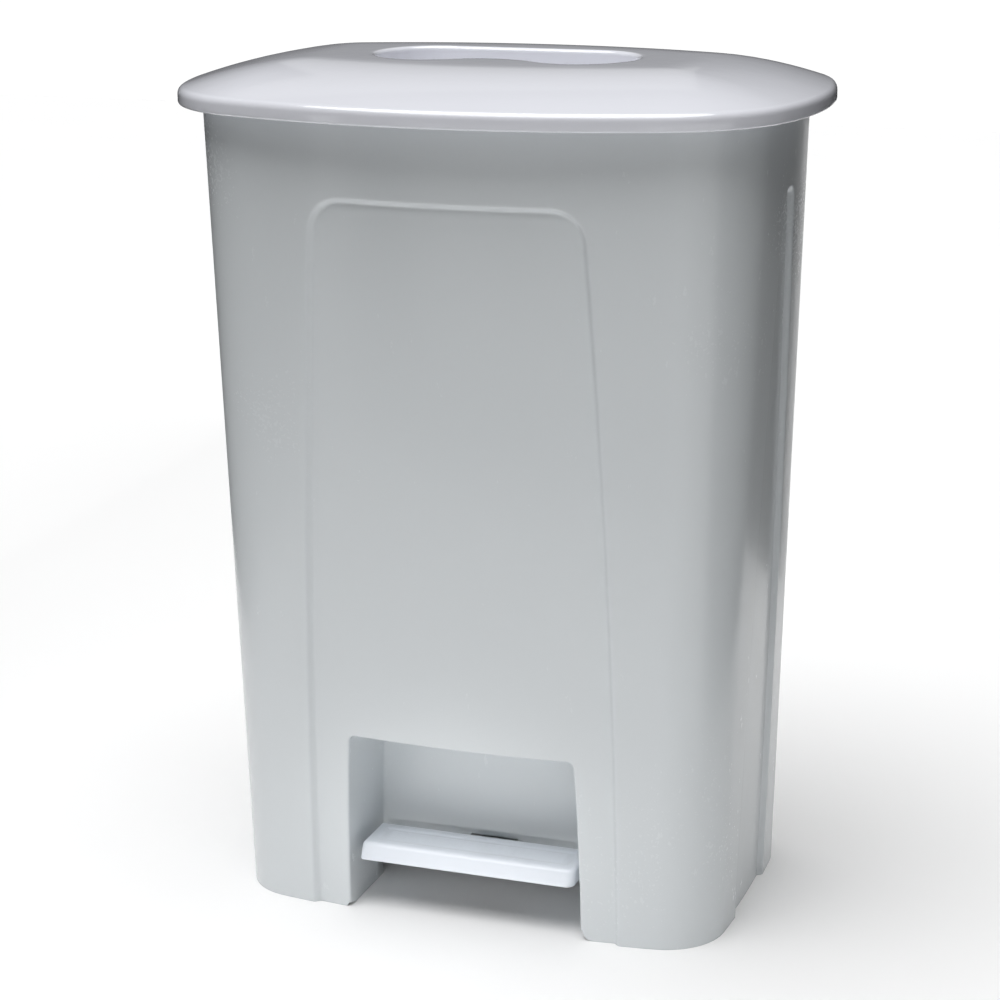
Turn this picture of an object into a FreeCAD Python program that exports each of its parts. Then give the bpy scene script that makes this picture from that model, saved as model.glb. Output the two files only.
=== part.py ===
import FreeCAD, Part
import math
import os
from types import SimpleNamespace

import Sketcher

# Pedal bin, millimetres. +Z up, front towards -Y, origin on the floor under the middle of the lid.
SIZES = {
    # body moulding: outline at the floor and at the rim, with bowed sides and round corners
    "base_half_width": 190.9,
    "base_half_depth": 122.8,
    "base_corner_radius": 46.3,
    "base_front_bow": 10.1,
    "base_side_bow": 1.9,
    "rim_half_width": 215.2,
    "rim_half_depth": 139.2,
    "rim_corner_radius": 73.3,
    "rim_front_bow": 18.4,
    "rim_side_bow": 2.5,
    "body_height": 612.0,
    "body_wall": 2.8,
    "floor_underside": 60.0,
    "rim_lip_width": 3.0,
    "rim_lip_height": 3.0,
    # shallow arched panels sunk into the front and the two sides
    "panel_step": 4.0,
    "panel_margin": 66.0,
    "front_panel_half_width": 120.0,
    "front_panel_taper": 19.7,
    "front_panel_corner_radius": 22.0,
    "side_panel_half_width": 39.0,
    "side_panel_taper": 28.7,
    "side_panel_corner_radius": 8.0,
    # pedal niche in the front
    "niche_half_width": 92.3,
    "niche_taper": 4.1,
    "niche_height": 141.0,
    "niche_corner_radius": 5.0,
    "niche_back": 76.8,
    "niche_back_foot": 28.0,
    "lever_way_height": 41.8,
    "lever_way_clearance": 3.0,
    # lid moulding
    "lid_overhang": 24.0,
    "lid_corner_radius": 102.4,
    "lid_front_bow": 20.9,
    "lid_side_bow": 5.8,
    "lid_end_trim": 0.7,
    "lid_drop": 9.4,
    "lid_band": 11.35,
    "lid_rise": 20.0,
    "lid_crown_span": 104.0,
    "lid_crown_power": 1.84,
    "lid_wall": 2.5,
    "well_lobe_radius": 40.5,
    "well_lobe_offset": 58.0,
    "well_centre": 1.5,
    "well_bump": 19.0,
    "well_depth": 22.0,
    # lid hinge
    "hinge_drop": 8.0,
    "hinge_behind_rim": 6.8,
    "hinge_offset": 60.0,
    "hinge_knuckle_width": 16.0,
    "hinge_lug_width": 6.7,
    "hinge_gap": 0.3,
    "hinge_radius": 6.0,
    "hinge_pin_radius": 2.0,
    "hinge_pin_head": 3.6,
    "hinge_pin_chamfer": 0.8,
    "hinge_pin_tip": 1.5,
    "lid_angle": 80.0,
    # linkage from the pedal to the lid
    "crank_radius": 24.0,
    "crank_drop_angle": 40.0,
    "crank_slot_clearance": 1.7,
    "crank_slot_half_travel": 2.2,
    "crank_slot_inset": 3.0,
    "crank_tab_start": 6.0,
    "crank_tab_gap": 0.8,
    "crank_tab_thickness": 5.0,
    "crank_plate_thickness": 3.0,
    "crank_plate_half_width": 20.0,
    "crank_plate_gap": 1.2,
    "crank_eye_wall": 3.0,
    "crank_back_wall": 1.8,
    "crank_screw_along": 15.5,
    "crank_screw_before_rod": 11.6,
    "pedal_angle": 16.0,
    "rod_foot_inset": 13.1,
    "rod_radius": 2.5,
    "rod_bend": 5.5,
    "rod_guide_fit": 0.08,
    "rod_guide_height": 12.0,
    "rod_guide_behind_rod": 7.0,
    "rod_guide_wall": 4.0,
    "rod_guide_relief_start": 10.5,
    "rod_guide_relief_end": 16.8,
    "rod_lower_guide": 190.0,
    "rod_upper_guide": 470.0,
    "pivot_height": 24.0,
    "lever_half_width": 15.0,
    "lever_steel": 2.5,
    "lever_slot_clearance": 0.45,
    "lever_slot_half_travel": 0.9,
    "lever_slot_shift": 0.3,
    "lever_plate_half_width": 50.0,
    "lever_plate_inset": 6.0,
    "lever_knee": 8.0,
    "lever_knee_drop": 8.0,
    "lever_shin": 30.1,
    "lever_hub_above_axle": 10.4,
    "lever_heel_below_axle": 8.8,
    "lever_heel_half_width": 10.0,
    "lever_fork_length": 12.0,
    "lever_fork_rise": 13.0,
    "lever_end_margin": 8.0,
    "lever_end_half_height": 6.0,
    "lever_hole_clearance": 0.2,
    "axle_radius": 4.0,
    "axle_fit": 0.06,
    "bracket_gap": 0.5,
    "bracket_thickness": 4.0,
    "bracket_half_width": 12.0,
    "bracket_eye_radius": 8.8,
    "clip_thickness": 1.5,
    "clip_gap": 0.3,
    "clip_width": 2.6,
    # rod channel in the back of the body, and its cover
    "channel_half_width": 21.0,
    "channel_before_rod": 17.0,
    "channel_foot": 22.0,
    "cover_half_width": 33.0,
    "cover_thickness": 2.5,
    "cover_foot": 12.0,
    "cover_below_rim": 14.0,
    "cover_screw_outset": 1.5,
    "cover_screw_above_floor": 30.0,
    "cover_screw_below_top": 22.0,
    # pedal tread
    "tread_half_width": 85.0,
    "tread_underside": 39.0,
    "tread_height": 12.0,
    "tread_front_inset": 10.8,
    "tread_front_slope": 6.0,
    "tread_depth": 46.0,
    "tread_wall": 2.5,
    "tread_fillet": 3.0,
    "tread_sunk": 1.0,
    "tread_border": 9.0,
    "tread_screw_along": 35.0,
    "tread_screw_behind_middle": 2.0,
    # screws and rubber buffers
    "screw_radius": 1.3,
    "screw_fit": 0.05,
    "screw_head_radius": 3.0,
    "screw_head_height": 1.8,
    "screw_boss_radius": 4.5,
    "screw_length": 10.0,
    "buffer_radius": 5.0,
    "buffer_stem_radius": 2.0,
    "buffer_gap": 0.3,
    "buffer_height": 3.0,
    "buffer_past_corner_centre": 10.6,
}
CROWN_INSETS = (0.0, 3.0, 10.0, 20.0, 35.0, 55.0, 78.0, 98.0)
FAR = 300.0
X_AXIS = FreeCAD.Vector(1, 0, 0)
Y_AXIS = FreeCAD.Vector(0, 1, 0)
Z_AXIS = FreeCAD.Vector(0, 0, 1)
CENTRE = 3
START = 1
END = 2


class Size:
    """A number together with the spreadsheet expression that gives it."""

    def __init__(self, text, number):
        self.text = text
        self.number = number

    def _join(self, other, sign, number, swap=False):
        first, second = (other, self) if swap else (self, other)
        return Size(f"({first.text} {sign} {second.text})", number)

    def __add__(self, other):
        other = size(other)
        return self._join(other, "+", self.number + other.number)

    def __radd__(self, other):
        return size(other) + self

    def __sub__(self, other):
        other = size(other)
        return self._join(other, "-", self.number - other.number)

    def __rsub__(self, other):
        return size(other) - self

    def __mul__(self, other):
        other = size(other)
        return self._join(other, "*", self.number * other.number)

    def __rmul__(self, other):
        return size(other) * self

    def __truediv__(self, other):
        other = size(other)
        return self._join(other, "/", self.number / other.number)

    def __pow__(self, other):
        other = size(other)
        return self._join(other, "^", self.number ** other.number)

    def __neg__(self):
        return size(0) - self


def size(value):
    """The Size of a plain number, or the Size itself."""
    return value if isinstance(value, Size) else Size(repr(float(value)), float(value))


def root(value):
    return Size(f"sqrt({value.text})", math.sqrt(value.number))


def cosine(value):
    return Size(f"cos({value.text})", math.cos(math.radians(value.number)))


def sine(value):
    return Size(f"sin({value.text})", math.sin(math.radians(value.number)))


def angle_of(rise):
    return Size(f"atan({rise.text})", math.degrees(math.atan(rise.number)))


doc = FreeCAD.newDocument("PedalBin")
sheet = doc.addObject("Spreadsheet::Sheet", "Sizes")
for row, (alias, value) in enumerate(SIZES.items(), start=1):
    sheet.set(f"A{row}", alias)
    sheet.set(f"B{row}", str(value))
    sheet.setAlias(f"B{row}", alias)
doc.recompute()
S = SimpleNamespace(**{alias: Size(f"Sizes.{alias}", value) for alias, value in SIZES.items()})
NODES = []


# ---------------------------------------------------------------- helpers for document objects

def bind(item, **values):
    for name, value in values.items():
        item.setExpression(name, size(value).text)
    return item


def place(item, x=0, y=0, z=0, axis=None, angle=None):
    """Bind an object's position, and its turn about one axis."""
    if axis is not None:
        item.Placement = FreeCAD.Placement(FreeCAD.Vector(), FreeCAD.Rotation(axis, size(angle).number))
        if isinstance(angle, Size):
            item.setExpression("Placement.Rotation.Angle", angle.text)
    for name, value in (("x", x), ("y", y), ("z", z)):
        item.setExpression(f"Placement.Base.{name}", size(value).text)
    return item


def node(item, name):
    """Mark a finished sub-part: its Label names its file."""
    item.Label = name
    NODES.append(item)
    return item


def box(name, x, y, z):
    """A box between the two ends of each range."""
    item = doc.addObject("Part::Box", name)
    bind(item, Length=x[1] - x[0], Width=y[1] - y[0], Height=z[1] - z[0])
    return place(item, x[0], y[0], z[0])


def cylinder_x(name, x, y, z, radius):
    item = doc.addObject("Part::Cylinder", name)
    bind(item, Radius=radius, Height=x[1] - x[0])
    return place(item, x[0], y, z, Y_AXIS, 90)


def cylinder_y(name, x, y, z, radius):
    item = doc.addObject("Part::Cylinder", name)
    bind(item, Radius=radius, Height=y[1] - y[0])
    return place(item, x, y[0], z, X_AXIS, -90)


def cylinder_z(name, x, y, z, radius):
    item = doc.addObject("Part::Cylinder", name)
    bind(item, Radius=radius, Height=z[1] - z[0])
    return place(item, x, y, z[0])


def fuse(name, items):
    item = doc.addObject("Part::MultiFuse", name)
    item.Shapes = items
    return item


def common(name, first, second):
    item = doc.addObject("Part::Common", name)
    item.Base = first
    item.Tool = second
    return item


def cut(name, base, tools):
    item = doc.addObject("Part::Cut", name)
    item.Base = base
    item.Tool = tools[0] if len(tools) == 1 else fuse(f"{name}_tools", tools)
    return item


def extrude(name, sketch, direction, length, symmetric=False):
    item = doc.addObject("Part::Extrusion", name)
    item.Base = sketch
    item.DirMode = "Custom"
    item.Dir = direction
    item.Solid = True
    item.Symmetric = symmetric
    return bind(item, LengthFwd=length)


def compound(name, items):
    item = doc.addObject("Part::Compound", name)
    item.Links = items
    return item


# ---------------------------------------------------------------- helpers for sketches

def constrain(sketch, kind, *where, value=None):
    """Add a constraint, and bind its value to the sheet when it has one."""
    if value is None:
        return sketch.addConstraint(Sketcher.Constraint(kind, *where))
    value = size(value)
    index = sketch.addConstraint(Sketcher.Constraint(kind, *where, value.number))
    sketch.setExpression(f"Constraints[{index}]", value.text)
    return index


def fix_point(sketch, geometry, position, x, y):
    constrain(sketch, "DistanceX", -1, 1, geometry, position, value=x)
    constrain(sketch, "DistanceY", -1, 1, geometry, position, value=y)


def polygon(sketch, points):
    """A closed outline of straight lines through points whose places are bound to the sheet."""
    corners = [FreeCAD.Vector(size(x).number, size(y).number, 0) for x, y in points]
    count = len(corners)
    first = sketch.GeometryCount
    for index in range(count):
        sketch.addGeometry(Part.LineSegment(corners[index], corners[(index + 1) % count]))
    for index in range(count):
        following = first + (index + 1) % count
        constrain(sketch, "Coincident", first + index, END, following, START)
    for index, (x, y) in enumerate(points):
        fix_point(sketch, first + index, START, x, y)
    return sketch


def rectangle(sketch, x, y):
    return polygon(sketch, [(x[0], y[0]), (x[1], y[0]), (x[1], y[1]), (x[0], y[1])])


def circle(sketch, x, y, radius):
    centre = FreeCAD.Vector(size(x).number, size(y).number, 0)
    index = sketch.addGeometry(Part.Circle(centre, Z_AXIS, size(radius).number))
    fix_point(sketch, index, CENTRE, x, y)
    constrain(sketch, "Radius", index, value=radius)
    return sketch


def arc(sketch, x, y, radius, start, end):
    """An arc seeded at its place, turning anticlockwise between two angles in radians."""
    centre = FreeCAD.Vector(x, y, 0)
    return sketch.addGeometry(Part.ArcOfCircle(Part.Circle(centre, Z_AXIS, radius), start, end))


def slot(sketch, first, second, radius):
    """A round-ended slot from one centre to another."""
    (x0, y0), (x1, y1) = [(size(x), size(y)) for x, y in (first, second)]
    along = math.atan2(y1.number - y0.number, x1.number - x0.number)
    side = FreeCAD.Vector(-math.sin(along), math.cos(along), 0) * radius.number
    near = FreeCAD.Vector(x0.number, y0.number, 0)
    far = FreeCAD.Vector(x1.number, y1.number, 0)
    quarter = math.pi / 2
    first_end = arc(sketch, near.x, near.y, radius.number, along + quarter, along + 3 * quarter)
    right = sketch.addGeometry(Part.LineSegment(near - side, far - side))
    second_end = arc(sketch, far.x, far.y, radius.number, along - quarter, along + quarter)
    left = sketch.addGeometry(Part.LineSegment(far + side, near + side))
    chain = (first_end, right, second_end, left)
    for index, part in enumerate(chain):
        constrain(sketch, "Tangent", part, END, chain[(index + 1) % 4], START)
    fix_point(sketch, first_end, CENTRE, x0, y0)
    fix_point(sketch, second_end, CENTRE, x1, y1)
    constrain(sketch, "Radius", first_end, value=radius)
    return sketch


def outline(name, section, inset, height):
    """A level outline of eight tangent arcs: bowed front, back and sides, and round corners."""
    width, depth, corner, front_bow, side_bow = section
    chord = width - corner - side_bow
    reach = depth - corner - front_bow
    front_radius = (chord * chord + front_bow * front_bow) / (2 * front_bow) + corner
    side_radius = (reach * reach + side_bow * side_bow) / (2 * side_bow) + corner
    front_centre = front_radius - depth
    side_centre = side_radius - width
    radii = [(radius - inset) for radius in (front_radius, corner, side_radius)]
    front_r, corner_r, side_r = [radius.number for radius in radii]
    sketch = doc.addObject("Sketcher::SketchObject", name)
    place(sketch, z=height)
    lean = math.asin(chord.number / (front_radius.number - corner.number))
    tilt = math.asin(reach.number / (side_radius.number - corner.number))
    quarter = math.pi / 2
    x = chord.number
    y = reach.number
    arc(sketch, 0, front_centre.number, front_r, -quarter - lean, -quarter + lean)
    arc(sketch, x, -y, corner_r, -quarter + lean, -tilt)
    arc(sketch, -side_centre.number, 0, side_r, -tilt, tilt)
    arc(sketch, x, y, corner_r, tilt, quarter - lean)
    arc(sketch, 0, -front_centre.number, front_r, quarter - lean, quarter + lean)
    arc(sketch, -x, y, corner_r, quarter + lean, 2 * quarter - tilt)
    arc(sketch, side_centre.number, 0, side_r, 2 * quarter - tilt, 2 * quarter + tilt)
    arc(sketch, -x, -y, corner_r, 2 * quarter + tilt, 3 * quarter - lean)
    for index in range(8):
        constrain(sketch, "Tangent", index, END, (index + 1) % 8, START)
    for index, centre in ((0, front_centre), (4, -front_centre)):
        fix_point(sketch, index, CENTRE, 0, centre)
        constrain(sketch, "Radius", index, value=radii[0])
    for index, centre in ((2, -side_centre), (6, side_centre)):
        fix_point(sketch, index, CENTRE, centre, 0)
        constrain(sketch, "Radius", index, value=radii[2])
    for index in (1, 3, 5, 7):
        constrain(sketch, "Radius", index, value=radii[1])
    return sketch


def loft(name, sketches):
    item = doc.addObject("Part::Loft", name)
    item.Sections = sketches
    item.Solid = True
    item.Ruled = True
    return item


def arch(name, half_width, taper, top, corner, grow=0.0):
    """An upright arch: sides that lean inwards by the taper as they rise, round top corners, flat top."""
    side_radius = (top * top + taper * taper) / (taper * 2) + grow
    corner = corner + grow
    top = top + grow
    side_centre = half_width + grow - side_radius
    foot = -S.panel_step
    sketch = doc.addObject("Sketcher::SketchObject", name)
    hub = side_centre.number
    big = side_radius.number
    small = corner.number
    top_z = top.number
    corner_x = hub + math.sqrt((big - small) ** 2 - (top_z - small) ** 2)
    turn = math.atan2(top_z - small, corner_x - hub)
    foot_turn = math.asin(foot.number / big)
    foot_x = hub + big * math.cos(foot_turn)
    quarter = math.pi / 2
    line = sketch.addGeometry(Part.LineSegment(
        FreeCAD.Vector(-foot_x, foot.number, 0), FreeCAD.Vector(foot_x, foot.number, 0)))
    right = arc(sketch, hub, 0, big, foot_turn, turn)
    right_corner = arc(sketch, corner_x, top_z - small, small, turn, quarter)
    upper = sketch.addGeometry(Part.LineSegment(
        FreeCAD.Vector(corner_x, top_z, 0), FreeCAD.Vector(-corner_x, top_z, 0)))
    left_corner = arc(sketch, -corner_x, top_z - small, small, quarter, 2 * quarter - turn)
    left = arc(sketch, -hub, 0, big, 2 * quarter - turn, 2 * quarter - foot_turn)
    chain = (right, right_corner, upper, left_corner, left)
    for first, second in zip(chain, chain[1:]):
        constrain(sketch, "Tangent", first, END, second, START)
    constrain(sketch, "Coincident", line, END, right, START)
    constrain(sketch, "Coincident", left, END, line, START)
    for flat, height in ((line, foot), (upper, top)):
        constrain(sketch, "Horizontal", flat)
        constrain(sketch, "DistanceY", -1, 1, flat, START, value=height)
    for index, centre in ((right, side_centre), (left, -side_centre)):
        fix_point(sketch, index, CENTRE, centre, 0)
        constrain(sketch, "Radius", index, value=side_radius)
    for index in (right_corner, left_corner):
        constrain(sketch, "Radius", index, value=corner)
    return sketch


def stand_facing_front(sketch, y=0):
    """Turn a sketch so that it stands across the bin: its x is X and its y is Z."""
    return place(sketch, y=y, axis=X_AXIS, angle=90)


def stand_facing_side(sketch):
    """Turn a sketch so that it stands along the bin: its x is Y and its y is Z."""
    sketch.Placement = FreeCAD.Placement(FreeCAD.Vector(), FreeCAD.Rotation(Y_AXIS, Z_AXIS, X_AXIS))
    return sketch


def side_prism(name, points, half_width):
    """A solid with a straight-sided outline in the Y-Z plane, spread evenly about X = 0."""
    sketch = stand_facing_side(doc.addObject("Sketcher::SketchObject", f"{name}_sketch"))
    polygon(sketch, points)
    return extrude(name, sketch, X_AXIS, 2 * half_width, symmetric=True)


# ---------------------------------------------------------------- helpers for PartDesign bodies

def plane_of(body, role):
    return next(item for item in body.Origin.OriginFeatures if item.Role == role)


def body_sketch(body, name, role, offset=None):
    sketch = body.newObject("Sketcher::SketchObject", name)
    sketch.AttachmentSupport = [(plane_of(body, role), "")]
    sketch.MapMode = "FlatFace"
    if offset is not None:
        sketch.setExpression("AttachmentOffset.Base.z", size(offset).text)
    return sketch


def pad(body, name, sketch, length, symmetric=True):
    item = body.newObject("PartDesign::Pad", name)
    item.Profile = sketch
    item.SideType = "Symmetric" if symmetric else "One side"
    return bind(item, Length=length)


def pocket(body, name, sketch, length):
    """A pocket cut evenly to both sides of its sketch."""
    item = body.newObject("PartDesign::Pocket", name)
    item.Profile = sketch
    item.SideType = "Symmetric"
    return bind(item, Length=length)


def turned(name, profile):
    """A round piece turned about its own X axis from an outline of (x, radius) points."""
    body = doc.addObject("PartDesign::Body", name)
    sketch = body_sketch(body, f"{name}_profile", "XY_Plane")
    polygon(sketch, profile)
    turn = body.newObject("PartDesign::Revolution", f"{name}_turn")
    turn.Profile = sketch
    turn.ReferenceAxis = (sketch, ["H_Axis"])
    turn.Angle = 360
    return body


def screw(name, length):
    """A pan-head screw that points up, with the underside of its head at the origin."""
    head = cylinder_z(f"{name}_head", 0, 0, (-S.screw_head_height, size(0)), S.screw_head_radius)
    shank = cylinder_z(f"{name}_shank", 0, 0, (size(0), length), S.screw_radius)
    arm = S.screw_head_radius * 0.6
    half_cut = S.screw_radius / 3
    depth = (-S.screw_head_height - 1, -S.screw_head_height / 2)
    long_cut = box(f"{name}_cross_x", (-arm, arm), (-half_cut, half_cut), depth)
    short_cut = box(f"{name}_cross_y", (-half_cut, half_cut), (-arm, arm), depth)
    return cut(name, fuse(f"{name}_blank", [head, shank]), [long_cut, short_cut])


# ---------------------------------------------------------------- shared places

BASE = (S.base_half_width, S.base_half_depth, S.base_corner_radius, S.base_front_bow, S.base_side_bow)
RIM = (S.rim_half_width, S.rim_half_depth, S.rim_corner_radius, S.rim_front_bow, S.rim_side_bow)
LID = (S.rim_half_width + S.lid_overhang - S.lid_end_trim, S.rim_half_depth + S.lid_overhang,
       S.lid_corner_radius, S.lid_front_bow, S.lid_side_bow)

hinge_y = S.rim_half_depth + S.hinge_behind_rim
hinge_z = S.body_height - S.hinge_drop
lever_half_angle = S.pedal_angle / 2
lift = 2 * S.crank_radius * sine(S.crank_drop_angle)
lever_rear = lift / (2 * sine(lever_half_angle))
rod_foot_y = S.base_half_depth - S.rod_foot_inset
rod_foot_z = S.pivot_height - lever_rear * sine(lever_half_angle)
pivot_y = rod_foot_y - lever_rear * cosine(lever_half_angle)
rod_head_y = hinge_y - S.crank_radius * cosine(S.crank_drop_angle)
rod_head_z = hinge_z - S.crank_radius * sine(S.crank_drop_angle)
rod_slope = (rod_head_y - rod_foot_y) / (rod_head_z - rod_foot_z)
rod_lean = angle_of(rod_slope)
rod_run = rod_head_z - rod_foot_z
rod_length = root(rod_run * rod_run + (rod_run * rod_slope) * (rod_run * rod_slope))

lid_foot = S.body_height - S.lid_drop
lid_shoulder = lid_foot + S.lid_band
lid_top = lid_shoulder + S.lid_rise
floor_top = S.floor_underside + S.body_wall
niche_y = -(S.base_half_depth - S.niche_back)
crank_plate_top = S.body_height + S.crank_plate_gap + S.crank_plate_thickness
crank_plate_foot = crank_plate_top - S.crank_plate_thickness


def rod_y(height):
    """How far back the rod's centre line is at a height."""
    return rod_foot_y + (size(height) - rod_foot_z) * rod_slope


def rear_y(height):
    """How far back the middle of the body's back face is at a height."""
    return S.base_half_depth + (S.rim_half_depth - S.base_half_depth) * size(height) / S.body_height


# ---------------------------------------------------------------- body moulding

def form(name, inset, grow):
    """The tapered body shape, drawn in by inset, with its three panels sunk one step further."""
    plain = loft(name, [outline(f"{name}_base", BASE, inset, 0),
                        outline(f"{name}_rim", RIM, inset, S.body_height)])
    sunk = loft(f"{name}_sunk", [outline(f"{name}_sunk_base", BASE, inset + S.panel_step, 0),
                                 outline(f"{name}_sunk_rim", RIM, inset + S.panel_step, S.body_height)])
    panel_top = S.body_height - S.panel_margin
    front = stand_facing_front(arch(
        f"{name}_front_arch", S.front_panel_half_width, S.front_panel_taper,
        panel_top, S.front_panel_corner_radius, grow))
    side = stand_facing_side(arch(
        f"{name}_side_arch", S.side_panel_half_width, S.side_panel_taper,
        panel_top, S.side_panel_corner_radius, grow))
    front_panel = extrude(f"{name}_front_panel", front, -Y_AXIS, FAR)
    side_panels = extrude(f"{name}_side_panels", side, X_AXIS, 2 * FAR, symmetric=True)
    return fuse(f"{name}_form", [sunk, cut(f"{name}_frame", plain, [front_panel, side_panels])])


def niche_shape(name, grow):
    """The pedal niche as a solid, grown by its wall where that is asked for."""
    sketch = arch(f"{name}_arch", S.niche_half_width, S.niche_taper,
                  S.niche_height, S.niche_corner_radius, grow)
    stand_facing_front(sketch, niche_y + grow)
    return extrude(name, sketch, -Y_AXIS, FAR)


def channel_shape(name, foot, top, grow):
    """The upright channel for the rod, open to the back and parallel to the rod."""
    front_foot = rod_y(foot) - S.channel_before_rod - grow
    front_top = rod_y(top) - S.channel_before_rod - grow
    points = [(front_foot, foot), (size(FAR), foot), (size(FAR), top), (front_top, top)]
    return side_prism(name, points, S.channel_half_width + grow)


def hinge_lugs():
    """Two ears each side of each lid knuckle, standing out behind the rim."""
    items = []
    for side in (-1, 1):
        for edge in (-1, 1):
            inner = S.hinge_offset + edge * (S.hinge_knuckle_width / 2 + S.hinge_gap)
            outer = inner + edge * S.hinge_lug_width
            ends = (side * inner, side * outer)
            x = ends if side * edge > 0 else (ends[1], ends[0])
            name = f"hinge_lug_{len(items)}"
            reach = S.hinge_behind_rim + S.body_wall * 2
            items.append(box(f"{name}_arm", x, (hinge_y - reach, hinge_y),
                             (hinge_z - S.hinge_radius, hinge_z + S.hinge_radius)))
            items.append(cylinder_x(f"{name}_eye", x, hinge_y, hinge_z, S.hinge_radius))
    return items


def axle_brackets():
    """Two ears under the floor that carry the pedal axle."""
    items = []
    for side in (-1, 1):
        inner = S.lever_half_width + S.bracket_gap
        outer = inner + S.bracket_thickness
        x = (inner, outer) if side > 0 else (-outer, -inner)
        name = f"axle_bracket_{'left' if side < 0 else 'right'}"
        half = S.bracket_half_width
        items.append(box(f"{name}_web", x, (pivot_y - half, pivot_y + half),
                         (S.pivot_height, floor_top - S.body_wall / 2)))
        items.append(cylinder_x(f"{name}_eye", x, pivot_y, S.pivot_height, S.bracket_eye_radius))
    return items


def cover_screw_places():
    """Where the six cover screws go, as (x, z)."""
    x = (S.channel_half_width + S.cover_half_width) / 2 + S.cover_screw_outset
    foot = S.floor_underside + S.cover_screw_above_floor
    top = S.body_height - S.cover_below_rim - S.cover_screw_below_top
    heights = (foot, (foot + top) / 2, top)
    return [(side * x, height) for height in heights for side in (-1, 1)]


def make_body():
    outer = form("outer", size(0), size(0))
    inner = form("inner", S.body_wall, S.body_wall)
    wide = (size(-FAR), size(FAR))
    floor_slab = box("floor_slab", wide, wide, (S.floor_underside, floor_top))
    shell = cut("shell", outer, [cut("cavity", inner, [floor_slab])])
    niche_walls = common("niche_walls", niche_shape("niche_block", S.body_wall), outer)
    channel_block = channel_shape("channel_block", S.floor_underside, S.body_height, S.body_wall)
    channel_walls = common("channel_walls", channel_block, outer)
    lip = extrude("rim_lip", outline("rim_lip_outline", RIM, -S.rim_lip_width,
                                     S.body_height - S.rim_lip_height), Z_AXIS, S.rim_lip_height)
    lip_hole = extrude("rim_lip_hole", outline("rim_lip_inner", RIM, S.body_wall,
                                               S.body_height - FAR / 10), Z_AXIS, FAR)
    rim = cut("rim_ring", lip, [lip_hole])
    bosses = []
    holes = []
    for index, (x, height) in enumerate(cover_screw_places()):
        back = rear_y(height) - S.body_wall / 2
        bosses.append(cylinder_y(f"cover_boss_{index}", x, (back - S.screw_length, back),
                                 height, S.screw_boss_radius))
        holes.append(cylinder_y(f"cover_boss_hole_{index}", x,
                                (back - S.screw_length + 1.5, back + S.screw_length),
                                height, S.screw_radius + S.screw_fit))
    solid = fuse("body_blank", [shell, niche_walls, channel_walls, rim]
                 + hinge_lugs() + axle_brackets() + bosses)
    through = (niche_y - 1, niche_y + S.body_wall + 1)
    half_open = S.niche_half_width - S.body_wall * 2
    open_foot = box("niche_open_foot", (-half_open, half_open), through, (size(-1), S.niche_back_foot))
    half_way = S.lever_half_width + S.lever_way_clearance
    lever_way = box("lever_way", (-half_way, half_way), through, (size(-1), S.lever_way_height))
    axle_end = S.lever_half_width * 2
    axle_hole = cylinder_x("axle_hole", (-axle_end, axle_end), pivot_y, S.pivot_height,
                           S.axle_radius + S.axle_fit)
    pin_end = S.hinge_offset * 2
    pin_hole = cylinder_x("hinge_hole", (-pin_end, pin_end), hinge_y, hinge_z,
                          S.hinge_pin_radius + S.axle_fit)
    channel = channel_shape("channel_way", S.channel_foot, S.body_height + 1, size(0))
    tools = [niche_shape("niche_way", size(0)), channel, open_foot, lever_way, axle_hole, pin_hole]
    node(cut("body_moulding", solid, tools + holes), "outer_body")


# ---------------------------------------------------------------- back cover of the rod channel

def make_cover():
    foot = S.cover_foot
    top = S.body_height - S.cover_below_rim
    skin = loft("cover_skin", [outline("cover_skin_base", BASE, -S.cover_thickness, 0),
                               outline("cover_skin_rim", RIM, -S.cover_thickness, S.body_height)])
    back = loft("cover_back", [outline("cover_back_base", BASE, size(0), 0),
                               outline("cover_back_rim", RIM, size(0), S.body_height)])
    width = (-S.cover_half_width, S.cover_half_width)
    strip = box("cover_strip", width, (S.base_half_depth / 2, size(FAR)), (foot, top))
    tools = [back]
    screws = []
    for index, (x, height) in enumerate(cover_screw_places()):
        seat = rear_y(height) + S.cover_thickness / 2
        tools.append(cylinder_y(f"cover_seat_{index}", x, (seat, seat + S.cover_half_width), height,
                                S.screw_head_radius + 0.3))
        tools.append(cylinder_y(f"cover_hole_{index}", x, (seat - S.cover_half_width, seat + 1), height,
                                S.screw_radius + 0.2))
        item = screw(f"cover_screw_{index}", S.screw_length)
        screws.append(place(item, x, seat, height, X_AXIS, 90))
    node(cut("cover_plate", common("cover_strip_skin", skin, strip), tools), "rear_rod_cover")
    node(compound("cover_screw_group", screws), "cover_screws")


# ---------------------------------------------------------------- lid moulding

def crown_height(inset):
    """How high the lid's top is, a distance in from its edge."""
    part = (S.lid_crown_span - inset) / S.lid_crown_span
    return lid_shoulder + S.lid_rise * (1 - part ** S.lid_crown_power)


def lid_form(name, wall):
    """The lid's cap shape, drawn in by wall: an upright band and a gently domed top."""
    sections = [outline(f"{name}_foot", LID, wall, lid_foot - (wall if wall.number else 0))]
    for index, inset in enumerate(CROWN_INSETS):
        sections.append(outline(f"{name}_crown_{index}", LID, wall + inset,
                                crown_height(inset) - wall))
    return loft(name, sections)


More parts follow.
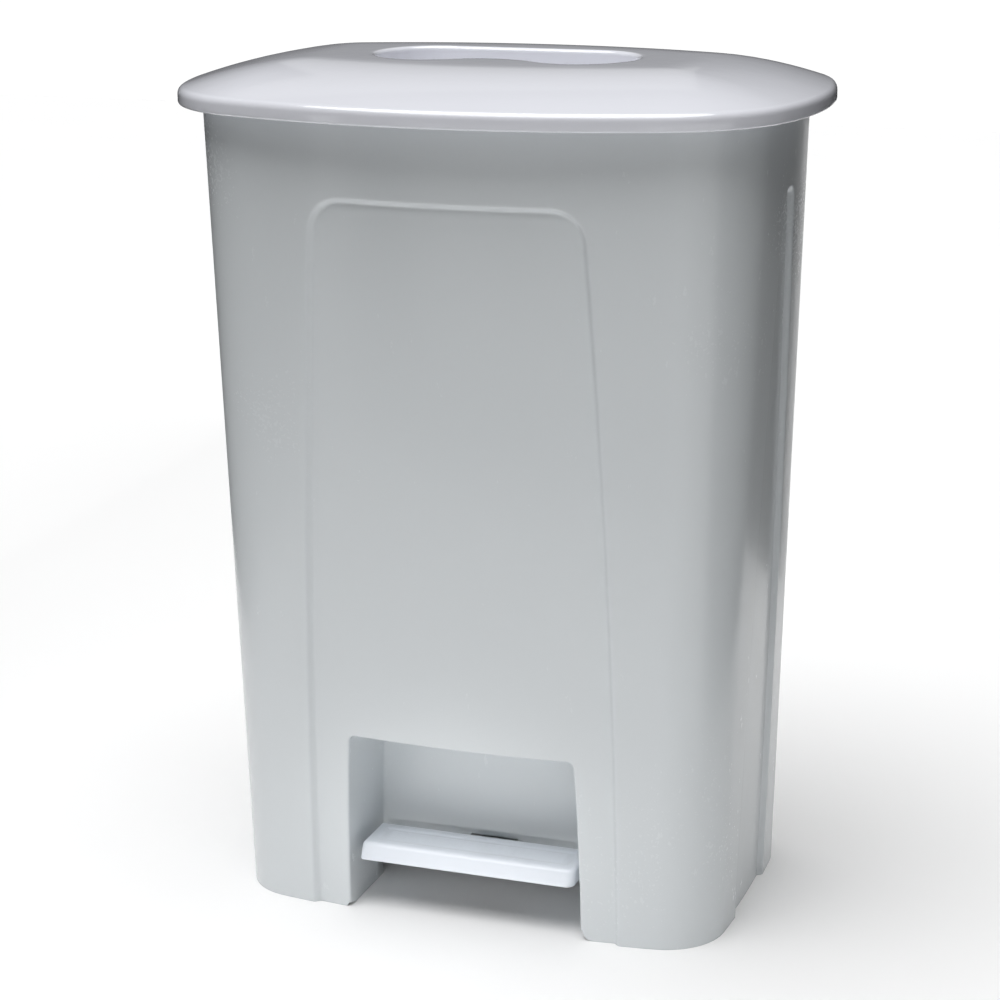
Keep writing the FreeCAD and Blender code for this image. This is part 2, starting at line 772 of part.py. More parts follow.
def well_outline(name, grow, height):
    """The hand well's outline: two round lobes, a straight back and a bump between them in front."""
    lobe = S.well_lobe_radius + grow
    offset = S.well_lobe_offset
    rise = S.well_lobe_radius - S.well_bump
    bump = (offset * offset + rise * rise - S.well_lobe_radius * S.well_lobe_radius) / (2 * S.well_bump)
    hub_y = S.well_centre - rise - bump
    bump_radius = bump - grow
    sketch = doc.addObject("Sketcher::SketchObject", name)
    place(sketch, z=height)
    x = offset.number
    y = S.well_centre.number
    lean = math.atan2(y - hub_y.number, x)
    quarter = math.pi / 2
    right = arc(sketch, x, y, lobe.number, -2 * quarter + lean, quarter)
    upper = sketch.addGeometry(Part.LineSegment(
        FreeCAD.Vector(x, y + lobe.number, 0), FreeCAD.Vector(-x, y + lobe.number, 0)))
    left = arc(sketch, -x, y, lobe.number, quarter, 4 * quarter - lean)
    middle = arc(sketch, 0, hub_y.number, bump_radius.number, lean, 2 * quarter - lean)
    constrain(sketch, "Tangent", right, END, upper, START)
    constrain(sketch, "Tangent", upper, END, left, START)
    constrain(sketch, "Tangent", left, END, middle, END)
    constrain(sketch, "Coincident", middle, START, right, START)
    fix_point(sketch, right, CENTRE, offset, S.well_centre)
    fix_point(sketch, left, CENTRE, -offset, S.well_centre)
    fix_point(sketch, middle, CENTRE, 0, hub_y)
    constrain(sketch, "Radius", right, value=lobe)
    return sketch


def buffer_place():
    """Where the front buffers meet the rim: on the corner arc, as (x, y)."""
    chord = S.rim_half_width - S.rim_corner_radius - S.rim_side_bow
    reach = S.rim_half_depth - S.rim_corner_radius - S.rim_front_bow
    across = S.buffer_past_corner_centre
    return chord + across, -(reach + root(S.rim_corner_radius * S.rim_corner_radius - across * across))


def make_lid():
    outer = lid_form("lid_outer", size(0))
    inner = lid_form("lid_inner", S.lid_wall)
    shell = cut("lid_shell", outer, [inner])
    well_floor = lid_top - S.well_depth
    well_foot = well_floor - S.lid_wall
    well_block = extrude("well_block", well_outline("well_block_outline", S.lid_wall, well_foot),
                         Z_AXIS, lid_top - well_foot + 1)
    well_walls = common("well_walls", well_block, outer)
    well_way = extrude("well_way", well_outline("well_way_outline", size(0), well_floor),
                       Z_AXIS, S.well_depth * 2)
    additions = [shell, well_walls]
    holes = [well_way]
    front = hinge_y - S.hinge_radius * 0.75
    back = hinge_y + S.hinge_radius * 0.75
    for side in (-1, 1):
        name = "left" if side < 0 else "right"
        middle = side * S.hinge_offset
        x = (middle - S.hinge_knuckle_width / 2, middle + S.hinge_knuckle_width / 2)
        arm = box(f"knuckle_arm_{name}", x, (front, back), (hinge_z, lid_top))
        additions.append(common(f"knuckle_{name}", arm, outer))
        additions.append(cylinder_x(f"knuckle_eye_{name}", x, hinge_y, hinge_z, S.hinge_radius))
        boss = cylinder_z(f"crank_boss_{name}", side * crank_screw_x, crank_screw_y,
                          (crank_plate_top, lid_top), S.screw_boss_radius)
        additions.append(common(f"crank_boss_trimmed_{name}", boss, outer))
        buffer_x, buffer_y = buffer_place()
        pad_foot = S.body_height + S.buffer_gap + S.buffer_height
        pad_boss = cylinder_z(f"buffer_boss_{name}", side * buffer_x, buffer_y,
                              (pad_foot, lid_top), S.buffer_radius)
        additions.append(common(f"buffer_boss_trimmed_{name}", pad_boss, outer))
        holes.append(cylinder_z(f"crank_hole_{name}", side * crank_screw_x, crank_screw_y,
                                (crank_plate_top - 1, crank_screw_tip + 1),
                                S.screw_radius + S.screw_fit))
        holes.append(cylinder_z(f"buffer_hole_{name}", side * buffer_x, buffer_y,
                                (pad_foot - 1, pad_foot + S.lid_wall), S.buffer_stem_radius))
    pin_end = S.hinge_offset * 2
    holes.append(cylinder_x("knuckle_hole", (-pin_end, pin_end), hinge_y, hinge_z,
                            S.hinge_pin_radius + S.axle_fit))
    node(cut("lid_moulding", fuse("lid_blank", additions), holes), "lid")


def make_buffers():
    """Two rubber buffers pressed into the lid, which meet the rim when it shuts."""
    buffer_x, buffer_y = buffer_place()
    foot = S.body_height + S.buffer_gap
    top = foot + S.buffer_height
    for side in (-1, 1):
        name = "left" if side < 0 else "right"
        x = side * buffer_x
        pad_part = cylinder_z(f"buffer_pad_{name}", x, buffer_y, (foot, top), S.buffer_radius)
        stem = cylinder_z(f"buffer_stem_{name}", x, buffer_y, (foot, top + S.lid_wall),
                          S.buffer_stem_radius)
        node(fuse(f"buffer_{name}", [pad_part, stem]), f"lid_buffer_{name}")


# ---------------------------------------------------------------- hinge pins

def make_hinge_pins():
    inner = S.hinge_knuckle_width / 2 + S.hinge_gap + S.hinge_lug_width
    for side in (-1, 1):
        name = f"lid_hinge_pin_{'left' if side < 0 else 'right'}"
        tip = inner + S.hinge_pin_tip
        head = inner + S.hinge_pin_radius
        profile = [(-head, size(0)), (-head, S.hinge_pin_head), (-inner, S.hinge_pin_head),
                   (-inner, S.hinge_pin_radius), (tip - S.hinge_pin_chamfer, S.hinge_pin_radius),
                   (tip, S.hinge_pin_radius - S.hinge_pin_chamfer), (tip, size(0))]
        body = turned(name, profile)
        place(body, side * S.hinge_offset, hinge_y, hinge_z)
        node(body, name)


# ---------------------------------------------------------------- lid crank

crank_screw_x = S.crank_screw_along
crank_screw_y = rod_head_y - S.crank_screw_before_rod
crank_screw_tip = crank_plate_top + S.screw_length - S.crank_plate_thickness


def along_crank(distance):
    """A point on the crank's line below the hinge, as (y, z)."""
    return (hinge_y - distance * cosine(S.crank_drop_angle), hinge_z - distance * sine(S.crank_drop_angle))


def make_crank():
    """The bracket under the lid: a plate, and a tab whose slot takes the top of the rod."""
    reach = S.crank_radius - S.crank_slot_inset
    eye_y, eye_z = along_crank(reach + S.crank_slot_half_travel)
    inner_y, inner_z = along_crank(reach - S.crank_slot_half_travel)
    slot_radius = S.rod_radius + S.crank_slot_clearance
    eye_radius = slot_radius + S.crank_eye_wall
    front = rod_y(S.body_height) - S.channel_before_rod + S.crank_tab_gap
    back = inner_y + slot_radius + S.crank_back_wall
    x = (S.crank_tab_start, S.crank_tab_start + S.crank_tab_thickness)
    body = doc.addObject("PartDesign::Body", "crank")
    tab = body_sketch(body, "crank_tab_outline", "YZ_Plane", S.crank_tab_start)
    polygon(tab, [(front, crank_plate_top), (eye_y - eye_radius, eye_z),
                  (back, eye_z), (back, crank_plate_top)])
    pad(body, "crank_tab", tab, x[1] - x[0], symmetric=False)
    eye = body_sketch(body, "crank_eye_outline", "YZ_Plane", S.crank_tab_start)
    circle(eye, eye_y, eye_z, eye_radius)
    pad(body, "crank_eye", eye, x[1] - x[0], symmetric=False)
    plate = body_sketch(body, "crank_plate_outline", "XY_Plane", crank_plate_foot)
    rectangle(plate, (-S.crank_plate_half_width, S.crank_plate_half_width), (front - 4, back))
    pad(body, "crank_plate", plate, S.crank_plate_thickness, symmetric=False)
    rod_slot = body_sketch(body, "crank_slot_outline", "YZ_Plane")
    slot(rod_slot, (eye_y, eye_z), (inner_y, inner_z), slot_radius)
    pocket(body, "crank_slot", rod_slot, 4 * S.crank_plate_half_width)
    holes = body_sketch(body, "crank_screw_outline", "XY_Plane", crank_plate_foot)
    for side in (-1, 1):
        circle(holes, side * crank_screw_x, crank_screw_y, S.screw_radius + 0.2)
    pocket(body, "crank_screw_holes", holes, S.crank_plate_thickness * 4)
    node(body, "lid_crank")
    screws = []
    for side in (-1, 1):
        item = screw(f"crank_screw_{'left' if side < 0 else 'right'}",
                     crank_screw_tip - crank_plate_foot)
        screws.append(place(item, side * crank_screw_x, crank_screw_y, crank_plate_foot))
    node(compound("crank_screw_group", screws), "lid_crank_screws")


# ---------------------------------------------------------------- push rod, its guides and clips

rod_foot_arm = S.lever_half_width + S.clip_gap + S.clip_thickness + S.clip_width
rod_head_arm = S.crank_tab_start + S.crank_tab_thickness + S.clip_gap + S.clip_thickness + S.clip_width


def make_rod():
    """A round steel rod with both ends bent sideways, one into the lever and one into the crank."""
    body = doc.addObject("PartDesign::Body", "rod")
    path = body_sketch(body, "rod_path", "XZ_Plane")
    bend = S.rod_bend.number
    top = rod_length.number
    quarter = math.pi / 2
    foot = path.addGeometry(Part.LineSegment(
        FreeCAD.Vector(rod_foot_arm.number, 0, 0), FreeCAD.Vector(bend, 0, 0)))
    foot_bend = arc(path, bend, bend, bend, 2 * quarter, 3 * quarter)
    shaft = path.addGeometry(Part.LineSegment(FreeCAD.Vector(0, bend, 0), FreeCAD.Vector(0, top - bend, 0)))
    head_bend = arc(path, bend, top - bend, bend, quarter, 2 * quarter)
    head = path.addGeometry(Part.LineSegment(
        FreeCAD.Vector(bend, top, 0), FreeCAD.Vector(rod_head_arm.number, top, 0)))
    constrain(path, "Tangent", foot, END, foot_bend, END)
    constrain(path, "Tangent", foot_bend, START, shaft, START)
    constrain(path, "Tangent", shaft, END, head_bend, END)
    constrain(path, "Tangent", head_bend, START, head, START)
    fix_point(path, foot, START, rod_foot_arm, 0)
    fix_point(path, head, END, rod_head_arm, rod_length)
    for index, radius_x, radius_y in ((foot_bend, S.rod_bend, S.rod_bend),
                                      (head_bend, S.rod_bend, rod_length - S.rod_bend)):
        fix_point(path, index, CENTRE, radius_x, radius_y)
    profile = body_sketch(body, "rod_section", "YZ_Plane", rod_foot_arm)
    circle(profile, 0, 0, S.rod_radius)
    pipe = body.newObject("PartDesign::AdditivePipe", "rod_pipe")
    pipe.Profile = profile
    pipe.Spine = path
    place(body, 0, rod_foot_y, rod_foot_z, -X_AXIS, rod_lean)
    node(body, "push_rod")


def make_rod_clips():
    """Push-on washers that keep the rod's bent ends in the lever and the crank."""
    places = (("lower", S.lever_half_width + S.clip_gap, rod_foot_y, rod_foot_z),
              ("upper", S.crank_tab_start + S.crank_tab_thickness + S.clip_gap, rod_head_y, rod_head_z))
    for name, start, y, z in places:
        x = (start, start + S.clip_thickness)
        disc = cylinder_x(f"rod_clip_disc_{name}", x, y, z, S.rod_radius + S.clip_width)
        hole = cylinder_x(f"rod_clip_hole_{name}", x, y, z, S.rod_radius)
        node(cut(f"rod_washer_{name}", disc, [hole]), f"rod_clip_{name}")


def make_rod_guides():
    """Two blocks across the channel, each with a running hole for the rod."""
    for name, height in (("lower", S.rod_lower_guide), ("upper", S.rod_upper_guide)):
        top = height + S.rod_guide_height
        before = S.channel_before_rod
        behind = S.rod_guide_behind_rod
        points = [(rod_y(height) - before, height), (rod_y(height) + behind, height),
                  (rod_y(top) + behind, top), (rod_y(top) - before, top)]
        block = side_prism(f"rod_guide_block_{name}", points, S.channel_half_width)
        hole = doc.addObject("Part::Cylinder", f"rod_guide_hole_{name}")
        bind(hole, Radius=S.rod_radius + S.rod_guide_fit, Height=rod_length)
        place(hole, 0, rod_foot_y, rod_foot_z, -X_AXIS, rod_lean)
        depth = (rod_y(height) - before + S.rod_guide_wall, rod_y(height) + behind + S.rod_guide_wall)
        relief = box(f"rod_guide_relief_{name}",
                     (S.rod_guide_relief_start, S.rod_guide_relief_end), depth, (height - 1, top + 1))
        twin = box(f"rod_guide_relief_twin_{name}",
                   (-S.rod_guide_relief_end, -S.rod_guide_relief_start), depth, (height - 1, top + 1))
        node(cut(f"rod_guide_{name}_cut", block, [hole, relief, twin]), f"rod_guide_{name}")


# ---------------------------------------------------------------- pedal

tread_front = -(S.base_half_depth - S.tread_front_inset)
tread_back = tread_front + S.tread_depth
tread_top = S.tread_underside + S.tread_height
plate_foot = S.tread_underside
plate_top = plate_foot + S.lever_steel
tread_screw_x = S.tread_screw_along
tread_screw_y = (tread_front + tread_back) / 2 + S.tread_screw_behind_middle


def make_tread():
    """The moulded shoe that the foot presses: sloped front, sunk top and a hollow underside."""
    body = doc.addObject("PartDesign::Body", "tread")
    side = body_sketch(body, "tread_outline", "YZ_Plane")
    front_top = tread_front + S.tread_front_slope
    polygon(side, [(tread_front, S.tread_underside), (tread_back, S.tread_underside),
                   (tread_back, tread_top), (front_top, tread_top)])
    block = pad(body, "tread_block", side, 2 * S.tread_half_width)
    doc.recompute()
    edges = [f"Edge{index}" for index, edge in enumerate(block.Shape.Edges, start=1)
             if edge.BoundBox.ZMax > tread_top.number - 0.1]
    soft = body.newObject("PartDesign::Fillet", "tread_soft_edges")
    soft.Base = (block, edges)
    bind(soft, Radius=S.tread_fillet)
    x = S.tread_half_width - S.tread_border
    sunk = body_sketch(body, "tread_sunk_outline", "XY_Plane", tread_top)
    rectangle(sunk, (-x, x), (front_top + S.tread_border, tread_back - S.tread_border))
    pocket(body, "tread_sunk_top", sunk, 2 * S.tread_sunk)
    hollow = body_sketch(body, "tread_hollow_outline", "YZ_Plane")
    wall = S.tread_wall
    ceiling = tread_top - S.tread_sunk - wall
    polygon(hollow, [(tread_front + wall, S.tread_underside - 1), (tread_back - wall, S.tread_underside - 1),
                     (tread_back - wall, ceiling), (front_top + wall, ceiling)])
    pocket(body, "tread_hollow", hollow, 2 * (S.tread_half_width - wall))
    notch = body_sketch(body, "tread_notch_outline", "YZ_Plane")
    rectangle(notch, (tread_back - wall - 1, tread_back + 1),
              (S.tread_underside - 1, plate_top + S.hinge_gap))
    pocket(body, "tread_notch", notch, 2 * (S.lever_plate_half_width + S.hinge_gap))
    doc.recompute()
    bosses = body_sketch(body, "tread_boss_outline", "XY_Plane", plate_top)
    holes = body_sketch(body, "tread_hole_outline", "XY_Plane", plate_top)
    for end in (-1, 1):
        circle(bosses, end * tread_screw_x, tread_screw_y, S.screw_boss_radius)
        circle(holes, end * tread_screw_x, tread_screw_y, S.screw_radius + S.screw_fit)
    pad(body, "tread_bosses", bosses, ceiling - plate_top + 0.5, symmetric=False)
    pocket(body, "tread_holes", holes, 2 * (ceiling - plate_top))
    node(body, "pedal_tread")
    screws = []
    for end in (-1, 1):
        item = screw(f"tread_screw_{'left' if end < 0 else 'right'}",
                     S.lever_steel + ceiling - plate_top - 0.3)
        screws.append(place(item, end * tread_screw_x, tread_screw_y, plate_foot))
    node(compound("tread_screw_group", screws), "tread_screws")


def make_lever():
    """A folded steel channel with a wide plate under the tread and an axle hole near its middle."""
    steel = S.lever_steel
    shin = pivot_y - S.lever_shin
    hub_top = S.pivot_height + S.lever_hub_above_axle
    rear_end = rod_foot_y + S.lever_end_margin
    web_end = rod_foot_y - S.lever_fork_length
    web_end_z = rod_foot_z + S.lever_fork_rise
    knee = tread_back + S.lever_knee
    heel = S.pivot_height - S.lever_heel_below_axle
    tail = rod_foot_z - S.lever_end_half_height
    body = doc.addObject("PartDesign::Body", "lever")
    side = body_sketch(body, "lever_outline", "YZ_Plane")
    polygon(side, [(tread_back + 1, plate_top), (knee, plate_top), (shin, hub_top),
                   (web_end, web_end_z), (rear_end, rod_foot_z + S.lever_end_half_height), (rear_end, tail),
                   (web_end, tail), (pivot_y + S.lever_heel_half_width, heel),
                   (pivot_y - S.lever_heel_half_width, heel),
                   (niche_y, plate_foot - S.lever_knee_drop), (tread_back + 1, plate_foot)])
    pad(body, "lever_block", side, 2 * S.lever_half_width)
    doc.recompute()
    hollow = body_sketch(body, "lever_hollow_outline", "YZ_Plane")
    deep = size(-FAR / 10)
    polygon(hollow, [(tread_front, plate_foot), (knee, plate_foot), (shin, hub_top - steel),
                     (web_end, web_end_z - steel), (web_end, size(FAR / 4)), (size(FAR), size(FAR / 4)),
                     (size(FAR), deep), (tread_front, deep)])
    pocket(body, "lever_hollow", hollow, 2 * (S.lever_half_width - steel))
    doc.recompute()
    plate = body_sketch(body, "lever_plate_outline", "YZ_Plane")
    rectangle(plate, (tread_front + S.tread_front_slope + S.lever_plate_inset, knee), (plate_foot, plate_top))
    pad(body, "lever_plate", plate, 2 * S.lever_plate_half_width)
    doc.recompute()
    axle = body_sketch(body, "lever_axle_outline", "YZ_Plane")
    circle(axle, pivot_y, S.pivot_height, S.axle_radius + S.axle_fit)
    pocket(body, "lever_axle_hole", axle, 4 * S.lever_half_width)
    rear = body_sketch(body, "lever_slot_outline", "YZ_Plane")
    middle = rod_foot_y + S.lever_slot_shift
    slot(rear, (middle - S.lever_slot_half_travel, rod_foot_z),
         (middle + S.lever_slot_half_travel, rod_foot_z), S.rod_radius + S.lever_slot_clearance)
    pocket(body, "lever_rod_slot", rear, 4 * S.lever_half_width)
    holes = body_sketch(body, "lever_screw_outline", "XY_Plane", plate_foot)
    for end in (-1, 1):
        circle(holes, end * tread_screw_x, tread_screw_y, S.screw_radius + S.lever_hole_clearance)
    pocket(body, "lever_screw_holes", holes, steel * 4)
    node(body, "pedal_lever")


def make_axle():
    """The pedal's steel axle, with a spring clip outside each bracket."""
    bracket = S.lever_half_width + S.bracket_gap + S.bracket_thickness
    end = bracket + S.clip_gap + S.clip_thickness + S.clip_width
    chamfer = size(0.6)
    axle = turned("axle", [(-end, size(0)), (-end, S.axle_radius - chamfer),
                           (-end + chamfer, S.axle_radius), (end - chamfer, S.axle_radius),
                           (end, S.axle_radius - chamfer), (end, size(0))])
    place(axle, 0, pivot_y, S.pivot_height)
    node(axle, "pedal_axle")
    for side in (-1, 1):
        name = "left" if side < 0 else "right"
        near = bracket + S.clip_gap
        far = near + S.clip_thickness
        x = (near, far) if side > 0 else (-far, -near)
        disc = cylinder_x(f"axle_clip_disc_{name}", x, pivot_y, S.pivot_height,
                          S.axle_radius + S.clip_width)
        hole = cylinder_x(f"axle_clip_hole_{name}", x, pivot_y, S.pivot_height, S.axle_radius)
        notch = box(f"axle_clip_notch_{name}", x, (pivot_y - S.axle_radius * 0.6,
                                                   pivot_y + S.axle_radius * 0.6),
                    (S.pivot_height - S.axle_radius * 3, S.pivot_height - S.axle_radius / 2))
        node(cut(f"axle_washer_{name}", disc, [hole, notch]), f"axle_clip_{name}")


# ---------------------------------------------------------------- build, check and write

def check():
    doc.recompute()
    for item in doc.Objects:
        if "Invalid" in item.State or "Error" in item.State:
            raise RuntimeError(f"{item.Name} failed: {item.State}")
    for item in NODES:
        if item.Shape.isNull() or not item.Shape.isValid():
            raise RuntimeError(f"{item.Label} has no valid shape")


def write():
    os.makedirs("parts", exist_ok=True)
    for item in NODES:
        item.Shape.exportStep(f"parts/{item.Label}.step")
        print(f"{item.Label}: {len(item.Shape.Solids)} solid, {item.Shape.Volume / 1000:.1f} cm3")


make_body()
make_cover()
make_lid()
make_buffers()
make_hinge_pins()
make_crank()
make_rod()
make_rod_clips()
make_rod_guides()
make_tread()
make_lever()
make_axle()
check()
write()
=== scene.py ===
"""Pedal bin: a moulded body, a hinged lid with a hand well, and a pedal that lifts it through a rod."""
import math

import bmesh
import bpy
import numpy as np
from bpy.props import FloatProperty, FloatVectorProperty, IntProperty, PointerProperty
from mathutils import Matrix, Vector

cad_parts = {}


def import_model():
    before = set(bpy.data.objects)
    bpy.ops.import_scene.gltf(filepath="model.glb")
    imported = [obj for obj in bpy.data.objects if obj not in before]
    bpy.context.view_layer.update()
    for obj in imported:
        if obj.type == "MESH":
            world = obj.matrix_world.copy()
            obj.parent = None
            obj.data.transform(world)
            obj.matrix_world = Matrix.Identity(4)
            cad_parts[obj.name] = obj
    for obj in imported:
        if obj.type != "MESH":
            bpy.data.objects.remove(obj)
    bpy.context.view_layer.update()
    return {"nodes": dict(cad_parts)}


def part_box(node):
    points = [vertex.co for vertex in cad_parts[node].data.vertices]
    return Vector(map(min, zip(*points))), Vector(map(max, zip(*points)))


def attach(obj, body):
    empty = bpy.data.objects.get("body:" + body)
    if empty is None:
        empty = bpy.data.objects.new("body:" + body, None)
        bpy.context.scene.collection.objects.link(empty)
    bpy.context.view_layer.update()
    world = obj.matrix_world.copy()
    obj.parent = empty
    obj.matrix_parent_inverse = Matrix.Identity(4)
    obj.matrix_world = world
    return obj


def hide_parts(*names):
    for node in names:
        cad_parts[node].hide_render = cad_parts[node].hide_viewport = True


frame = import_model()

bl_info = {
    "name": "Pedal Bin",
    "version": (1, 0, 0),
    "blender": (4, 5, 0),
    "location": "3D View > Sidebar > Pedal Bin",
    "description": "Builds a pedal bin, piece by piece, around its packed frame",
    "category": "Object",
}

MM = 0.001

# outlines in millimetres: half width, half depth, corner radius, front bow, side bow
BASE = (190.9, 122.8, 46.3, 10.1, 1.9)
RIM = (215.2, 139.2, 73.3, 18.4, 2.5)
LID = (238.5, 163.2, 102.4, 20.9, 5.8)
BODY_HEIGHT = 612.0
FLOOR_Z = 60.0
PANEL_TOP = 546.0
NICHE_TOP = 141.0
NICHE_CORNER = 5.0
LEVER_WAY = 41.8
NICHE_BACK = -46.0
CHANNEL = 21.0
CHANNEL_FOOT = 22.0
CHANNEL_BEFORE_ROD = 17.0
FRONT_PANEL = (120.0, 19.7)
SIDE_PANEL = (39.0, 28.7)
NICHE_MOUTH = (92.3, 4.1)
FRONT_PANEL_CORNER, SIDE_PANEL_CORNER = 22.0, 8.0
FOOT_ROUND_RIGHT, FOOT_ROUND_LEFT, FOOT_TOP = 8.0, 3.0, 20
NICHE_BACK_FOOT = 28
LEVER_WAY_HALF = 18
BODY_WALL = 2.8
RIM_LIP = (
    (0.05, 608.9), (0.05, 611.2), (0.3, 611.75), (0.9, 612.0),
    (4.9, 612.0), (5.5, 611.75), (5.8, 611.2), (5.8, 608.9),
)
ROD_FOOT, ROD_LEAN = (109.7, 8.573), 0.030888
ROD_RADIUS, ROD_BEND = 2.5, 5.5
BOSS_RADIUS = 4.5
COVER_SCREWS = [(x, z) for z in (90.0, 333.0, 576.0) for x in (-28.5, 28.5)]
CRANK_SCREW_X, CRANK_SCREW_Y = 15.5, 116.0
TREAD_SCREW_X = 35.0
SCREW_HEAD = 1.8
LUG_SPANS = ((45, 51.7), (68.3, 75))
KNUCKLE_SPAN = (52, 68)
BRACKET_SPANS = ((15.5, 19.5), (-19.5, -15.5))
AXLE_Z, BRACKET_EYE = 24, 8.5
HINGE_EYE = 6.0
LID_FOOT = 602.6
LID_LIP = 2.4
LID_SHOULDER = 613.95
LID_RISE = 20.0
CROWN_SPAN, CROWN_POWER = 104, 1.84
LID_CENTRE = (0.0, 10.0)
WELL_DRAFT = 2.0
BUFFER_PLACE = (150.0, -120.0)
WELL_LOBE = (58.0, 1.5, 40.5)
WELL_BUMP = (-77.5, 57.5)
WELL_FLOOR = 611.95
HINGE = (146.0, 604.0)
TREAD_SLOPE, TREAD_FILLET, TREAD_BORDER, TREAD_SUNK, TREAD_WALL = 6.0, 3.0, 9.0, 1.0, 2.5
TREAD_CORNERS = (7.0, 4.0)
RIB_HALF, RIB_INSET = 71.0, 12.5


# ---------------------------------------------------------------- outlines
class Outline:
    """Closed outline of two bowed long sides, two bowed ends and round corners, moved in by k."""

    def __init__(self, sizes, k=0.0):
        a, b, r, bow, side_bow = sizes
        self.k, self.r = k, r
        self.chord, self.reach = a - r - side_bow, b - r - bow
        self.front_radius = (self.chord**2 + bow**2) / (2 * bow) + r
        self.side_radius = (self.reach**2 + side_bow**2) / (2 * side_bow) + r
        self.front_centre = self.front_radius - b
        self.side_centre = a - self.side_radius
        self.lean = math.asin(self.chord / (self.front_radius - r))
        self.tilt = math.asin(self.reach / (self.side_radius - r))
        self.front_end = (self.front_radius - k) * math.sin(self.lean)
        self.side_end = (self.side_radius - k) * math.sin(self.tilt)

    def front(self, x):
        """Point and outward normal on the front at x."""
        radius = self.front_radius - self.k
        y = -math.sqrt(radius * radius - x * x)
        return (x, self.front_centre + y), (x / radius, y / radius)

    def side(self, y):
        radius = self.side_radius - self.k
        x = math.sqrt(radius * radius - y * y)
        return (self.side_centre + x, y), (x / radius, y / radius)

    def corner(self, t):
        """Point and outward normal on the front right corner, t from the front to the side."""
        start = -math.pi / 2 + self.lean
        angle = start + (-self.tilt - start) * t
        c, s = math.cos(angle), math.sin(angle)
        size = self.r - self.k
        return (self.chord + size * c, -self.reach + size * s), (c, s)

    def at(self, kind, value):
        if kind == "front":
            return self.front(value)
        if kind == "side":
            return self.side(value)
        if kind == "corner":
            return self.corner(value)
        point, normal = self.corner(value) if kind == "rear_corner" else self.front(value)
        return (point[0], -point[1]), (normal[0], -normal[1])

    def loop(self, count=60):
        """Points round the whole outline, anticlockwise from the middle of the front."""
        half = [("front", x) for x in np.linspace(0, self.front_end, count)]
        half += [("corner", t) for t in np.linspace(0, 1, count)[1:]]
        half += [("side", y) for y in np.linspace(-self.side_end, self.side_end, count)[1:]]
        half += [("rear_corner", t) for t in np.linspace(1, 0, count)[1:]]
        half += [("back", x) for x in np.linspace(self.front_end, 0, count)[1:]]
        right = [self.at(kind, value)[0] for kind, value in half]
        left = [(-x, y) for x, y in right[-2:0:-1]]
        return np.array(right + left)


def body_section(z, k=0.0):
    t = z / BODY_HEIGHT
    return Outline([p + (q - p) * t for p, q in zip(BASE, RIM)], k)


def arch_side(half_width, taper, top, z):
    """Half width at height z of an arched panel that loses its taper by the top."""
    radius = (top * top + taper * taper) / (2 * taper)
    return half_width - radius + math.sqrt(radius * radius - z * z)


def smooth(t):
    t = min(1.0, max(0.0, t))
    return t * t * (3 - 2 * t)


def rounded_depth(u, z, half_width, top, corner):
    """Distance inside a panel whose two top corners are round."""
    du, dz = half_width - abs(u), top - z
    if du < corner and dz < corner:
        return corner - math.hypot(corner - du, corner - dz)
    return min(du, dz)


def rod_y(z):
    """Where the leaning push rod's middle is at height z."""
    y, start = ROD_FOOT
    return y + (z - start) * ROD_LEAN


def before(start, stop, count):
    """Even steps from start up to stop, without stop."""
    return list(np.linspace(start, stop, count)[:-1])


# ---------------------------------------------------------------- meshes
def put(name, data):
    """A new object in the scene."""
    obj = bpy.data.objects.new(name, data)
    bpy.context.scene.collection.objects.link(obj)
    return obj


def make_object(name, points, faces, material=None, sharp=40.0, scale=MM):
    mesh = bpy.data.meshes.new(name)
    mesh.from_pydata([tuple(c * scale for c in p) for p in points], [], faces)
    return finish_object(name, mesh, material, sharp)


def finish_object(name, mesh, material=None, sharp=40.0):
    tidy = bmesh.new()
    tidy.from_mesh(mesh)
    bmesh.ops.delete(tidy, geom=[v for v in tidy.verts if not v.link_faces], context="VERTS")
    tidy.to_mesh(mesh)
    tidy.free()
    mesh.validate()
    mesh.shade_smooth()
    mesh.set_sharp_from_angle(angle=math.radians(sharp))
    if material:
        mesh.materials.clear()
        mesh.materials.append(material)
    return put(name, mesh)


def settle(obj):
    """Turns an object's modifiers into a plain mesh."""
    evaluated = obj.evaluated_get(bpy.context.evaluated_depsgraph_get())
    mesh = bpy.data.meshes.new_from_object(evaluated)
    obj.modifiers.clear()
    obj.data = mesh
    return obj


def thicken(obj, wall, even=True):
    shell = obj.modifiers.new("wall", "SOLIDIFY")
    shell.thickness = wall * MM
    shell.offset = -1
    shell.use_even_offset = even
    shell.use_quality_normals = True
    return obj


def soften(obj, width, segments, angle=35.0):
    edge = obj.modifiers.new("edges", "BEVEL")
    edge.width = width * MM
    edge.segments = segments
    edge.limit_method = "ANGLE"
    edge.angle_limit = math.radians(angle)
    edge.use_clamp_overlap = True
    edge.harden_normals = False
    return obj


def rings(loops, closed_bottom=False, closed_top=False):
    """Faces between loops of equal length, and the points in one list."""
    count = len(loops[0])
    points = [p for ring in loops for p in ring]
    faces = []
    for a in range(len(loops) - 1):
        for j in range(count):
            k = (j + 1) % count
            faces.append((a * count + j, a * count + k, (a + 1) * count + k, (a + 1) * count + j))
    if closed_bottom:
        faces.append(tuple(range(count))[::-1])
    if closed_top:
        start = (len(loops) - 1) * count
        faces.append(tuple(range(start, start + count)))
    return points, faces


def outward(obj):
    mesh = bmesh.new()
    mesh.from_mesh(obj.data)
    bmesh.ops.remove_doubles(mesh, verts=mesh.verts, dist=1e-7)
    bmesh.ops.recalc_face_normals(mesh, faces=mesh.faces)
    mesh.to_mesh(obj.data)
    mesh.free()
    return obj


def solid(name, loops, material=None, sharp=40.0):
    """A closed solid through loops of equal length."""
    return outward(make_object(name, *rings(loops, True, True), material=material, sharp=sharp))


